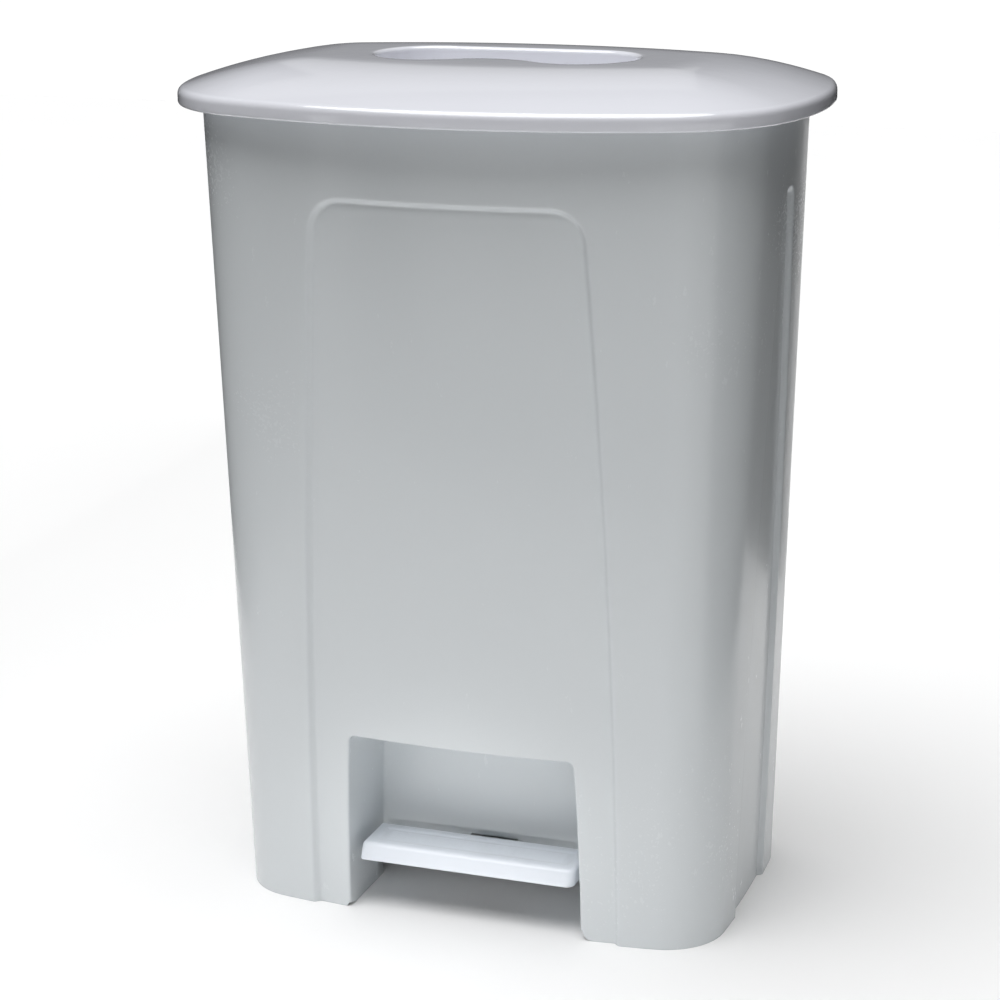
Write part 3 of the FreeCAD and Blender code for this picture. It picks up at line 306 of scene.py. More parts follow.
def prisms(name, profile, spans, surface, edge):
    """A (y, z) profile pushed along x over each span, with its edges rounded, as one object."""
    made = []
    for span in spans:
        piece = solid(name, [[(x, y, z) for y, z in profile] for x in span], surface, 30)
        made.append(settle(soften(piece, edge, 3)))
    return join(made, name)


def both_ways(spans):
    return [(x0 * sign, x1 * sign) for x0, x1 in spans for sign in (1, -1)]


def lathe(name, profile, place, axis, material, count=32, sharp=35.0):
    """A (radius, height) profile, from pole to pole, turned about an axis through a place."""
    turn = Vector((0, 0, 1)).rotation_difference(Vector(axis)).to_matrix()

    def at(radius, height, j=0):
        angle = 2 * math.pi * j / count
        return Vector(place) + turn @ Vector((radius * math.cos(angle), radius * math.sin(angle), height))

    loops = [[at(radius, height, j) for j in range(count)] for radius, height in profile[1:-1]]
    points, faces = rings(loops)
    first, last = len(points), len(points) + 1
    points += [at(0, profile[0][1]), at(0, profile[-1][1])]
    end = (len(loops) - 1) * count
    for j in range(count):
        k = (j + 1) % count
        faces.append((first, k, j))
        faces.append((last, end + j, end + k))
    return outward(make_object(name, points, faces, material=material, sharp=sharp))


def join(objects, name):
    """One object from several closed shells."""
    mesh = bmesh.new()
    for obj in objects:
        mesh.from_mesh(obj.data)
    joined = bpy.data.meshes.new(name)
    mesh.to_mesh(joined)
    mesh.free()
    joined.materials.append(objects[0].data.materials[0])
    for obj in objects:
        old = obj.data
        bpy.data.objects.remove(obj)
        bpy.data.meshes.remove(old)
    return put(name, joined)


# ---------------------------------------------------------------- materials
def add_node(tree, kind, settings, inputs):
    """Any node: its type, its settings, and its sockets' values or links."""
    node = tree.nodes.new(kind)
    for key, value in settings.items():
        setattr(node, key, value)
    for key, value in inputs.items():
        value = value.socket if isinstance(value, Value) else value
        if isinstance(value, bpy.types.NodeSocket):
            tree.links.new(value, node.inputs[key])
        else:
            node.inputs[key].default_value = value
    return node


class Value:
    """A number socket that can be added to, taken from and multiplied."""

    def __init__(self, shader, socket):
        self.shader, self.socket = shader, socket

    def _math(self, operation, first, second):
        node = self.shader.add("ShaderNodeMath", {"operation": operation}, {0: first, 1: second})
        return Value(self.shader, node.outputs[0])

    def __add__(self, other):
        return self._math("ADD", self, other)

    __radd__ = __add__

    def __sub__(self, other):
        return self._math("SUBTRACT", self, other)

    def __rsub__(self, other):
        return self._math("SUBTRACT", other, self)

    def __mul__(self, other):
        return self._math("MULTIPLY", self, other)

    __rmul__ = __mul__


class Finish:
    """A material with a Principled shader and the nodes that vary it over the surface."""

    def __init__(self, name, **constants):
        self.material = bpy.data.materials.new(name)
        self.material.use_nodes = True
        self.tree = self.material.node_tree
        self.surface = self.tree.nodes["Principled BSDF"]
        for key, value in constants.items():
            self.surface.inputs[key.replace("_", " ")].default_value = value
        self.coordinates = self.add("ShaderNodeTexCoord", {}, {}).outputs["Object"]

    def add(self, kind, settings, inputs):
        return add_node(self.tree, kind, settings, inputs)

    def moved(self, scale=(1, 1, 1)):
        return self.add("ShaderNodeMapping", {}, {"Vector": self.coordinates, "Scale": scale}).outputs[0]

    def noise(self, scale, detail=2.0, roughness=0.5, stretch=(1, 1, 1)):
        node = self.add("ShaderNodeTexNoise", {}, {
            "Vector": self.moved(stretch), "Scale": scale, "Detail": detail, "Roughness": roughness,
        })
        return Value(self, node.outputs["Fac"])

    def mask(self, value, low, high):
        node = self.add("ShaderNodeMapRange", {"interpolation_type": "SMOOTHSTEP"}, {
            "Value": value, "From Min": low, "From Max": high,
        })
        return Value(self, node.outputs["Result"])

    def mix(self, factor, first, second):
        node = self.add("ShaderNodeMix", {"data_type": "RGBA"}, {0: factor, 6: first, 7: second})
        return node.outputs[2]

    def colour(self, socket):
        self.tree.links.new(socket, self.surface.inputs["Base Color"])

    def roughness(self, value):
        self.tree.links.new(value.socket, self.surface.inputs["Roughness"])

    def bump(self, height, depth):
        node = self.add("ShaderNodeBump", {}, {"Height": height, "Distance": depth, "Strength": 1.0})
        self.tree.links.new(node.outputs[0], self.surface.inputs["Normal"])


def tint(colour, factor):
    return tuple(min(1.0, c * factor) for c in colour[:3]) + (1.0,)


def moulded_plastic(name, colour, roughness, gloss):
    """Glossy moulded plastic: a faint mottle, flow ripple, moulding texture and light handling marks."""
    colour = tuple(colour) + (1.0,)
    finish = Finish(name, Specular_IOR_Level=0.5, Coat_Weight=gloss, Coat_Roughness=0.06)
    cloud = finish.noise(5.0, 3.0)
    speck = finish.noise(420.0, 2.0)
    scuffs = finish.mask(finish.noise(90.0, 6.0, 0.7, (1, 1, 0.4)), 0.6, 0.9)
    base = finish.mix(cloud, tint(colour, 0.975), tint(colour, 1.02))
    worn = finish.mix(scuffs * 0.3 + speck * 0.15, base, tint(colour, 0.93))
    finish.colour(worn)
    finish.roughness(roughness + (cloud - 0.5) * 0.06 + scuffs * 0.1 + (speck - 0.5) * 0.04)
    finish.bump(finish.noise(70.0, 2.0) * 0.75 + speck * 0.25, 0.00012)
    return finish.material


def sheet_steel(name, colour, roughness, grain=(1, 1, 14)):
    """Plated or bare steel: drawing lines, a mottled plating and darker spots."""
    colour = tuple(colour) + (1.0,)
    finish = Finish(name, Metallic=1.0)
    lines = finish.noise(900.0, 2.0, 0.6, grain)
    cloud = finish.noise(60.0, 4.0)
    spots = finish.mask(finish.noise(300.0, 3.0, 0.7), 0.66, 0.78)
    finish.colour(finish.mix(cloud * 0.6 + spots * 0.4, tint(colour, 1.06), tint(colour, 0.72)))
    finish.roughness(roughness + (lines - 0.5) * 0.2 + spots * 0.15)
    finish.bump(lines, 0.00003)
    return finish.material


def soft_rubber(name, colour):
    """Black rubber with pale dust."""
    colour = tuple(colour) + (1.0,)
    finish = Finish(name, Specular_IOR_Level=0.3)
    dust = finish.mask(finish.noise(200.0, 4.0, 0.7), 0.5, 0.75)
    finish.colour(finish.mix(dust * 0.6, colour, tint(colour, 3.0)))
    finish.roughness(0.65 + dust * 0.2)
    finish.bump(finish.noise(900.0, 3.0), 0.00008)
    return finish.material


# ---------------------------------------------------------------- settings
def number(name, about, value, **more):
    return FloatProperty(name=name, description=about, default=value, **more)


def length(name, about, value):
    return number(name, about, value, unit="LENGTH")


def shade(name, about, value):
    return FloatVectorProperty(name=name, description=about, subtype="COLOR", default=value)


class PedalBinSizes(bpy.types.PropertyGroup):
    """Sizes a user may change, in metres."""

    wall: length("Body wall", "Wall of the body moulding", 0.0028)
    lid_wall: length("Lid wall", "Wall of the lid moulding", 0.0025)
    panel_step: length("Panel step", "How far the arched panels are sunk", 0.004)
    panel_edge: length("Panel edge", "Width of the soft edge round a panel", 0.0046)
    niche_edge: length("Niche edge", "Radius round the pedal niche", 0.0016)
    niche_root: length("Niche root", "Radius at the back of the pedal niche", 0.003)
    lid_edge: length("Lid edge", "Radius of the lid's top edge", 0.006)
    well_edge: length("Well edge", "Radius of the hand well's rim", 0.0035)
    well_root: length("Well root", "Radius at the hand well's floor", 0.006)
    rib_count: IntProperty(name="Tread ribs", description="Fine ribs on the pedal tread", default=9, min=1)


class PedalBinFinishes(bpy.types.PropertyGroup):
    """Colours a user may change."""

    body: shade("Body", "Body plastic", (0.765, 0.80, 0.82))
    lid: shade("Lid", "Lid plastic", (0.86, 0.87, 0.93))
    pedal: shade("Pedal", "Pedal plastic", (0.86, 0.90, 0.96))
    guide: shade("Guides", "Rod guide plastic", (0.75, 0.75, 0.72))
    steel: shade("Steel", "Plated lever and crank", (0.62, 0.63, 0.64))
    spring: shade("Spring steel", "Retaining clips", (0.12, 0.12, 0.13))
    rubber: shade("Rubber", "Lid buffers", (0.03, 0.03, 0.032))


class PedalBinStage(bpy.types.PropertyGroup):
    """Camera and lights."""

    azimuth: number("Azimuth", "Camera angle round the bin", 20.1)
    elevation: number("Elevation", "Camera angle above the floor", 16.16)
    roll: number("Roll", "Camera roll", -0.74)
    distance: length("Distance", "Camera distance", 1.9923)
    lens: number("Lens", "Focal length in millimetres", 94.53)
    sky: number("Sky", "Strength of the even light", 0.04)
    shade: number("Shade", "Share of the even light that comes from the sides", 0.1)
    key: number("Key", "Power of the front light", 0.5)
    pedal: number("Pedal", "Power of the light on the pedal", 0.022)
    rear: number("Rear", "Power of the rear light", 1.0)
    ceiling: number("Ceiling", "Strength of the overhead light", 3.45)


class PedalBinSettings(bpy.types.PropertyGroup):
    """All the settings of the bin."""

    sizes: PointerProperty(type=PedalBinSizes)
    finishes: PointerProperty(type=PedalBinFinishes)
    stage: PointerProperty(type=PedalBinStage)


def settings():
    return bpy.context.scene.pedal_bin


def material(slot):
    """The bin's finish for one of the record's material slots, made the first time it is asked for."""
    name = f"{slot}_finish"
    if name in bpy.data.materials:
        return bpy.data.materials[name]
    f = settings().finishes
    makers = {
        "body_plastic": lambda: moulded_plastic(name, f.body, 0.26, 0.12),
        "lid_plastic": lambda: moulded_plastic(name, f.lid, 0.13, 0.6),
        "pedal_plastic": lambda: moulded_plastic(name, f.pedal, 0.3, 0.15),
        "guide_plastic": lambda: moulded_plastic(name, f.guide, 0.45, 0.0),
        "lever_steel": lambda: sheet_steel(name, f.steel, 0.38, (14, 1, 1)),
        "bright_steel": lambda: sheet_steel(name, tint(f.steel, 1.15)[:3], 0.22),
        "spring_steel": lambda: sheet_steel(name, f.spring, 0.42),
        "zinc_steel": lambda: sheet_steel(name, tint(f.steel, 1.05)[:3], 0.3),
        "buffer_rubber": lambda: soft_rubber(name, f.rubber),
    }
    return makers[slot]()


# ---------------------------------------------------------------- geometry nodes
class Tree:
    """A Geometry Nodes tree with named inputs."""

    def __init__(self, name):
        self.group = bpy.data.node_groups.new(name, "GeometryNodeTree")
        self.group.interface.new_socket("Geometry", in_out="INPUT", socket_type="NodeSocketGeometry")
        self.group.interface.new_socket("Geometry", in_out="OUTPUT", socket_type="NodeSocketGeometry")
        self.start = self.group.nodes.new("NodeGroupInput")
        self.end = self.group.nodes.new("NodeGroupOutput")

    def input(self, name, kind):
        self.group.interface.new_socket(name, in_out="INPUT", socket_type="NodeSocket" + kind)
        return self.start.outputs[name]

    def add(self, kind, settings, inputs):
        return add_node(self.group, kind, settings, inputs).outputs[0]

    def close(self, geometry, surface):
        real = self.add("GeometryNodeRealizeInstances", {}, {"Geometry": geometry})
        painted = self.add("GeometryNodeSetMaterial", {}, {"Geometry": real, "Material": surface})
        self.group.links.new(painted, self.end.inputs[0])

    def apply(self, obj, **values):
        """Runs the tree on an object and leaves a plain mesh."""
        modifier = obj.modifiers.new(self.group.name, "NODES")
        modifier.node_group = self.group
        for item in self.group.interface.items_tree:
            key = item.name.lower().replace(" ", "_")
            if item.in_out == "INPUT" and key in values:
                modifier[item.identifier] = values[key]
        evaluated = obj.evaluated_get(bpy.context.evaluated_depsgraph_get())
        mesh = bpy.data.meshes.new_from_object(evaluated)
        name = obj.name
        bpy.data.objects.remove(obj)
        mesh.name = name
        return put(name, mesh)


def scatter_tree():
    """Puts a part on every point of a mesh, turned to the point's own direction."""
    tree = Tree("Scatter Part")
    part = tree.input("Part", "Object")
    surface = tree.input("Surface", "Material")
    info = add_node(tree.group, "GeometryNodeObjectInfo", {}, {"Object": part})
    points = tree.add("GeometryNodeMeshToPoints", {}, {"Mesh": tree.start.outputs["Geometry"]})
    facing = tree.add("GeometryNodeInputNamedAttribute", {"data_type": "FLOAT_VECTOR"}, {"Name": "facing"})
    spin = tree.add("GeometryNodeInputNamedAttribute", {"data_type": "FLOAT"}, {"Name": "spin"})
    turned = tree.add("FunctionNodeAxisAngleToRotation", {}, {"Axis": (0.0, 0.0, 1.0), "Angle": spin})
    aligned = tree.add("FunctionNodeAlignRotationToVector", {"axis": "Z"}, {"Rotation": turned, "Vector": facing})
    placed = tree.add("GeometryNodeInstanceOnPoints", {}, {
        "Points": points, "Instance": info.outputs["Geometry"], "Rotation": aligned,
    })
    tree.close(placed, surface)
    return tree


def scatter(tree, name, part, places, surface):
    """Copies of a part at (place, facing, spin), places in millimetres."""
    mesh = bpy.data.meshes.new(name)
    mesh.from_pydata([tuple(c * MM for c in place) for place, _, _ in places], [], [])
    mesh.attributes.new("facing", "FLOAT_VECTOR", "POINT")
    mesh.attributes.new("spin", "FLOAT", "POINT")
    for i, (_, way, turn) in enumerate(places):
        mesh.attributes["facing"].data[i].vector = way
        mesh.attributes["spin"].data[i].value = turn
    done = tree.apply(put(name, mesh), part=part, surface=surface)
    for key in ("facing", "spin"):
        if key in done.data.attributes:
            done.data.attributes.remove(done.data.attributes[key])
    return done


def sweep_tree():
    """Fillets a path of straight runs and sweeps a round bar along it."""
    tree = Tree("Bent Bar")
    radius = tree.input("Bar Radius", "Float")
    bend = tree.input("Bend Radius", "Float")
    surface = tree.input("Surface", "Material")
    curve = tree.add("GeometryNodeMeshToCurve", {}, {"Mesh": tree.start.outputs["Geometry"]})
    rounded = tree.add("GeometryNodeFilletCurve", {"mode": "POLY"}, {"Curve": curve, "Radius": bend, "Count": 10})
    ring = tree.add("GeometryNodeCurvePrimitiveCircle", {}, {"Resolution": 24, "Radius": radius})
    bar = tree.add("GeometryNodeCurveToMesh", {}, {"Curve": rounded, "Profile Curve": ring, "Fill Caps": True})
    tree.close(bar, surface)
    return tree


def rib_tree():
    """Repeats a thin raised rib across a width."""
    tree = Tree("Tread Ribs")
    count = tree.input("Count", "Int")
    pitch = tree.input("Pitch", "Vector")
    surface = tree.input("Surface", "Material")
    row = tree.add("GeometryNodeMeshLine", {"mode": "OFFSET"}, {"Count": count, "Offset": pitch})
    placed = tree.add("GeometryNodeInstanceOnPoints", {}, {
        "Points": row, "Instance": tree.start.outputs["Geometry"],
    })
    tree.close(placed, surface)
    return tree


# ---------------------------------------------------------------- body
def niche_half(z, edge):
    """Half width of the niche's mouth, outside its rounded edge."""
    half = arch_side(*NICHE_MOUTH, NICHE_TOP, min(z, NICHE_TOP)) + edge
    if z > NICHE_TOP:
        half += front_half(z) - front_half(NICHE_TOP)
    return half


def front_half(z):
    return arch_side(*FRONT_PANEL, PANEL_TOP, min(z, PANEL_TOP + 10))


def end_half(z):
    return arch_side(*SIDE_PANEL, PANEL_TOP, min(z, PANEL_TOP))


def stations(z, edge):
    """Columns round the right half of the body at height z: the kind of side and the place on it."""
    outline = body_section(z)
    niche, panel, end = niche_half(z, edge), front_half(z), end_half(z)
    # closer rows where the lever's way, the niche's corner and the panels' edges lie
    front = [t * niche for t in before(0, 0.2062, 6) + before(0.2062, 0.875, 12) + before(0.875, 1.0, 8)]
    edge_column = len(front)
    front += before(niche, panel - 5, 15) + before(panel - 5, panel + 5, 13)
    front += before(panel + 5, outline.front_end, 7)
    reach, near = outline.side_end, 4.5
    side = before(-reach, -end - near, 5) + before(-end - near, -end + near, 10)
    side += before(-end + near, end - near, 8)
    side += before(end - near, end + near, 10) + before(end + near, reach, 5)
    half = [("front", x) for x in front]
    half += [("corner", t) for t in before(0, 1, 17)]
    half += [("side", y) for y in side]
    half += [("rear_corner", t) for t in before(1, 0, 17)]
    half += [("back", x) for x in before(outline.front_end, CHANNEL, 15)]
    channel_column = len(half)
    half += [("back", x) for x in np.linspace(CHANNEL, 0, 4)]
    return half, edge_column, channel_column


def warp_corner(x, z, edge):
    """Rounds the top corner of the niche's mouth by moving the grid round it."""
    corner = NICHE_CORNER + edge
    cx = niche_half(NICHE_TOP, edge) - corner
    cz = NICHE_TOP + edge - corner
    u, v = abs(x) - cx, z - cz
    if u <= 0 or v <= 0:
        return x, z
    reach = max(u, v)
    fading = 14.0
    weight = 1.0 if reach <= corner else max(0.0, 1 - (reach - corner) / fading)
    factor = 1 + smooth(weight) * (reach / math.hypot(u, v) - 1)
    return math.copysign(cx + u * factor, x), cz + v * factor


def skin_point(kind, value, z, mirrored, edge):
    """A point on the body's outer skin, with the sunk panels and rounded feet."""
    s = settings().sizes
    width, step = s.panel_edge / MM, s.panel_step / MM
    depth = 0.0
    if kind == "front":
        value, z = warp_corner(value, z, edge)
        foot = FOOT_ROUND_LEFT if mirrored else FOOT_ROUND_RIGHT
        dx = value - niche_half(0, edge)
        if z < FOOT_TOP and dx < foot:
            dx = max(0.0, dx)
            z += (foot - math.sqrt(foot * foot - (foot - dx) ** 2)) * (1 - z / FOOT_TOP)
        depth = rounded_depth(value, z, front_half(z), PANEL_TOP, FRONT_PANEL_CORNER)
    elif kind == "side":
        depth = rounded_depth(value, z, end_half(z), PANEL_TOP, SIDE_PANEL_CORNER)
    (x, y), (nx, ny) = body_section(z).at(kind, value)
    if kind in ("front", "side"):
        sunk = step * smooth((depth + width / 2) / width)
        x, y = x - nx * sunk, y - ny * sunk
    return (-x if mirrored else x, y, z)


def heights(edge):
    """Heights of the skin's rows, closer where something starts or ends."""
    rows = [0, 1, 2, 3.5, 5, 7, 9, 13, 18, CHANNEL_FOOT, NICHE_BACK_FOOT, 36, LEVER_WAY, 42.6, 46, 52, 58]
    rows += [72, 86, 100, 112, 122, 129]
    rows += list(np.linspace(133.5, NICHE_TOP + edge, 9))
    rows += [143.8, 145.3, 147.5, 150, 154, 159]
    rows += list(np.arange(168, 516, 12))
    rows += list(np.linspace(520, 541, 14)) + list(np.linspace(542, 552, 12))
    rows += [558, 566, 576, 586, 596, 604, 608, 611.4]
    return sorted(float(z) for z in rows)


def make_skin():
    """The body's wall: outer skin, niche and the opening for the rod channel, thickened inwards."""
    s = settings().sizes
    edge, root = s.niche_edge / MM, s.niche_root / MM
    rows = heights(edge)
    top_row = min(range(len(rows)), key=lambda i: abs(rows[i] - NICHE_TOP - edge))
    points = []
    for z in rows:
        half, edge_column, channel_column = stations(z, edge)
        points += [skin_point(k, v, z, False, edge) for k, v in half]
        points += [skin_point(k, v, z, True, edge) for k, v in half[-2:0:-1]]
    count = 2 * (len(half) - 1)
    faces = []
    for i in range(len(rows) - 1):
        for j in range(count):
            k = (j + 1) % count
            if i < top_row and (j < edge_column or j >= count - edge_column):
                continue
            if rows[i] >= CHANNEL_FOOT and channel_column <= j < count - channel_column:
                continue
            faces.append((i * count + j, i * count + k, (i + 1) * count + k, (i + 1) * count + j))
    # ring round the niche: right side up, top to the left, left side down
    ring = [i * count + edge_column for i in range(top_row + 1)]
    ring += [top_row * count + j % count for j in range(edge_column - 1, -edge_column - 1, -1)]
    ring += [i * count + count - edge_column for i in range(top_row - 1, -1, -1)]
    corner = NICHE_CORNER + edge
    cx, cz = niche_half(NICHE_TOP, edge) - corner, NICHE_TOP + edge - corner
    inward = []
    for index in ring:
        x, _, z = points[index]
        if abs(x) > cx and z > cz:
            way = Vector((math.copysign(cx, x) - x, 0, cz - z)).normalized()
        elif z > cz:
            way = Vector((0, 0, -1))
        else:
            way = Vector((-math.copysign(1, x), 0, 0))
        inward.append(way)
    base = [Vector(points[index]) for index in ring]
    row_z = [rows[index // count] for index in ring]

    def loop_at(slide, depth_of):
        made = []
        for k, start in enumerate(base):
            y = depth_of(start)
            p = start + inward[k] * slide
            p.y = y
            fade = smooth(1 - (y - start.y) / 11.0)
            if row_z[k] < FOOT_TOP:
                p.z = row_z[k] + (start.z - row_z[k]) * fade
            made.append(p)
        return made

    loops = []
    for t in np.radians([15, 30, 45, 60, 75, 90]):
        loops.append(loop_at(edge * math.sin(t), lambda p, t=t: p.y + edge * (1 - math.cos(t))))
    for t in (0.03, 0.07, 0.12, 0.18, 0.4, 0.6, 0.8, 1.0):
        loops.append(loop_at(edge, lambda p, t=t: (p.y + edge) * (1 - t) + (NICHE_BACK - root) * t))
    straight = len(loops)
    for t in np.radians([22.5, 45, 67.5, 90]):
        loops.append(loop_at(
            edge + root * (1 - math.cos(t)), lambda p, t=t: NICHE_BACK - root + root * math.sin(t)))
    previous = ring
    for n, made in enumerate(loops):
        current = list(range(len(points), len(points) + len(made)))
        points += [tuple(p) for p in made]
        for k in range(len(ring) - 1):
            low = min(row_z[k], row_z[k + 1])
            if n >= straight and low < NICHE_BACK_FOOT:
                continue
            faces.append((previous[k], previous[k + 1], current[k + 1], current[k]))
        previous = current
    # the niche's back wall, filled between the ring's last loop
    last = [Vector(points[index]) for index in previous]
    width = 2 * edge_column
    right, top, left = last[: top_row + 1], last[top_row: top_row + width + 1], last[::-1][: top_row + 1]
    low_right, low_left = right[0], left[0]
    grid = {}
    for i in range(top_row + 1):
        v = right[i].z / right[-1].z
        for c in range(width + 1):
            if c == 0:
                grid[i, c] = previous[i]
            elif c == width:
                grid[i, c] = previous[len(previous) - 1 - i]
            elif i == top_row:
                grid[i, c] = previous[top_row + c]
            else:
                u = (top[c].x - top[0].x) / (top[-1].x - top[0].x)
                p = right[i].lerp(left[i], u) + low_right.lerp(low_left, u).lerp(top[c], v)
                p -= low_right.lerp(low_left, u).lerp(right[-1].lerp(left[-1], u), v)
                p.y = NICHE_BACK
                grid[i, c] = len(points)
                points.append(tuple(p))
    for i in range(top_row):
        for c in range(width):
            ids = (grid[i, c], grid[i + 1, c], grid[i + 1, c + 1], grid[i, c + 1])
            middle = sum((Vector(points[k]) for k in ids), Vector()) / 4
            if middle.z < NICHE_BACK_FOOT or (abs(middle.x) < LEVER_WAY_HALF and middle.z < LEVER_WAY):
                continue
            faces.append(ids)
    skin = make_object("body_wall", points, faces, material("body_plastic"), 50)
    return thicken(skin, s.wall / MM, False)


def open_loop(z, k, stop):
    """Outline from the back at x = stop, round the front, to the back at x = -stop."""
    loop = [tuple(p) for p in body_section(z, k).loop(16)]
    half = len(loop) // 2
    right = [p for p in loop[: half + 1] if not (p[1] > 0 and p[0] < stop + 3)]
    end = body_section(z, k).at("back", stop)[0]
    right.append(end)
    left = [(-x, y) for x, y in right[:0:-1]]
    return [(x, y, z) for x, y in left + right]


def make_rim():
    """The thickened lip round the mouth, open at the rod channel."""
    strips = [open_loop(z, k, CHANNEL) for k, z in RIM_LIP]
    count, length = len(strips[0]), len(strips)
    points = [p for strip in strips for p in strip]
    faces = []
    for a in range(length):
        b = (a + 1) % length
        for j in range(count - 1):
            faces.append((a * count + j, a * count + j + 1, b * count + j + 1, b * count + j))
    faces.append(tuple(a * count for a in range(length)))
    faces.append(tuple(a * count + count - 1 for a in range(length))[::-1])
    return outward(make_object("body_rim", points, faces, material("body_plastic"), 50))


def make_floor():
    """The bin's floor, cut round the niche and the rod channel."""
    wall, z = BODY_WALL / 2, FLOOR_Z + BODY_WALL / 2
    half, edge_column, channel_column = stations(z, settings().sizes.niche_edge / MM)
    front = rod_y(z) - CHANNEL_BEFORE_ROD - wall
    side = niche_half(z, 0) + wall
    right = []
    for kind, value in half[edge_column + 1: channel_column + 1: 2]:
        x, y, _ = skin_point(kind, value, z, False, settings().sizes.niche_edge / MM)
        _, (nx, ny) = body_section(z).at(kind, value)
        right.append((x - nx * wall, y - ny * wall))
    right = [(side, right[0][1])] + right + [(CHANNEL + wall, right[-1][1]), (CHANNEL + wall, front)]
    shape = right + [(-x, y) for x, y in right[::-1]]
    shape += [(-side, NICHE_BACK + wall), (side, NICHE_BACK + wall)]
    loops = [[(x, y, level) for x, y in shape] for level in (FLOOR_Z, FLOOR_Z + BODY_WALL)]
    return solid("body_floor", loops, material("body_plastic"))


def make_channel():
    """The walls of the rod channel inside the body."""
    loops = []
    for z in (FLOOR_Z, 62.9, 120, 200, 280, 360, 440, 520, 590, 611.9):
        back = body_section(z).at("back", CHANNEL + 1)[0][1] - 1.2
        front = rod_y(z) - CHANNEL_BEFORE_ROD
        outer = CHANNEL + BODY_WALL
        half = [(outer, back), (outer, front), (outer - 0.8, front - 2.0), (CHANNEL, front - BODY_WALL)]
        inner = [(CHANNEL - 2, front), (CHANNEL - 0.5, front + 0.6), (CHANNEL, front + 2), (CHANNEL, back)]
        shape = [(-x, y) for x, y in half] + half[::-1] + inner[::-1] + [(-x, y) for x, y in inner]
        loops.append([(x, y, z) for x, y in shape])
    return solid("rod_channel", loops, material("body_plastic"))


def circle_part(centre, radius, start, stop, count=14):
    return [
        (centre[0] + radius * math.cos(math.radians(a)), centre[1] + radius * math.sin(math.radians(a)))
        for a in np.linspace(start, stop, count)
    ]


def make_lugs():
    """The four ears on the back of the body that hold the hinge pins."""
    profile = [(134.4, 609.6)] + circle_part(HINGE, HINGE_EYE, 90, -52) + [(134.4, 584.0)]
    return prisms("hinge_lugs", profile, both_ways(LUG_SPANS), material("body_plastic"), 0.6)


def make_brackets():
    """The two brackets beneath the floor that hold the pedal axle, with a foot rib each."""
    eye = circle_part((0, AXLE_Z), BRACKET_EYE, 200, 340, 16)
    profile = [(-17, 60.6), (-15.5, 56)] + eye + [(15.5, 56), (17, 60.6)]
    return prisms("axle_brackets", profile, BRACKET_SPANS, material("body_plastic"), 0.5)


def near_points(node, x, z):
    """The CAD node's points nearest a screw place, in millimetres."""
    co = np.array([v.co for v in frame["nodes"][node].data.vertices]) * 1000
    return co[np.hypot(co[:, 0] - x, co[:, 2] - z) < 8]


def make_boss(place, axis, length, surface):
    """A screw boss with a flared root."""
    r = BOSS_RADIUS
    profile = [(0, 0), (r + 1.0, 0), (r + 0.2, 1.2), (r, 2.5), (r, length - 0.5), (r - 0.5, length), (0, length)]
    return lathe("boss", profile, place, axis, surface, 24)


def make_bosses():
    """Bosses behind the cover's screws."""
    made = []
    for x, z in COVER_SCREWS:
        back = body_section(z).at("back", abs(x))[0][1] - 2.4
        made.append(make_boss((x, back, z), (0, -1, 0), 9.5, material("body_plastic")))
    return join(made, "screw_bosses")


# ---------------------------------------------------------------- lid
def well_curve(grow):
    """The hand well's outline, grown outwards."""
    lobe_x, lobe_y, lobe = WELL_LOBE
    bump_y, bump = WELL_BUMP
    meet = math.degrees(math.atan2(lobe_y - bump_y, lobe_x))
    right = circle_part((lobe_x, lobe_y), lobe + grow, 90, meet - 180, 400)
    bump_arc = circle_part((0, bump_y), bump - grow, meet, 180 - meet, 200)
    left = [(-x, y) for x, y in right[::-1]]
    back = [(x, lobe_y + lobe + grow) for x in np.linspace(-lobe_x, lobe_x, 200)]
    return np.array(right + bump_arc + left + back)


def at_angles(curve, centre, angles):
    """Points of a closed curve at given directions from a centre."""
    dx, dy = curve[:, 0] - centre[0], curve[:, 1] - centre[1]
    around = np.mod(np.arctan2(dy, dx), 2 * math.pi)
    order = np.argsort(around)
    around, curve = around[order], curve[order]
    x = np.interp(angles, around, curve[:, 0], period=2 * math.pi)
    y = np.interp(angles, around, curve[:, 1], period=2 * math.pi)
    return x, y


def crown(inset):
    """Height of the lid's top at a distance in from its edge."""
    span = max(0.0, (CROWN_SPAN - inset) / CROWN_SPAN)
    return LID_SHOULDER + LID_RISE * (1 - span**CROWN_POWER)


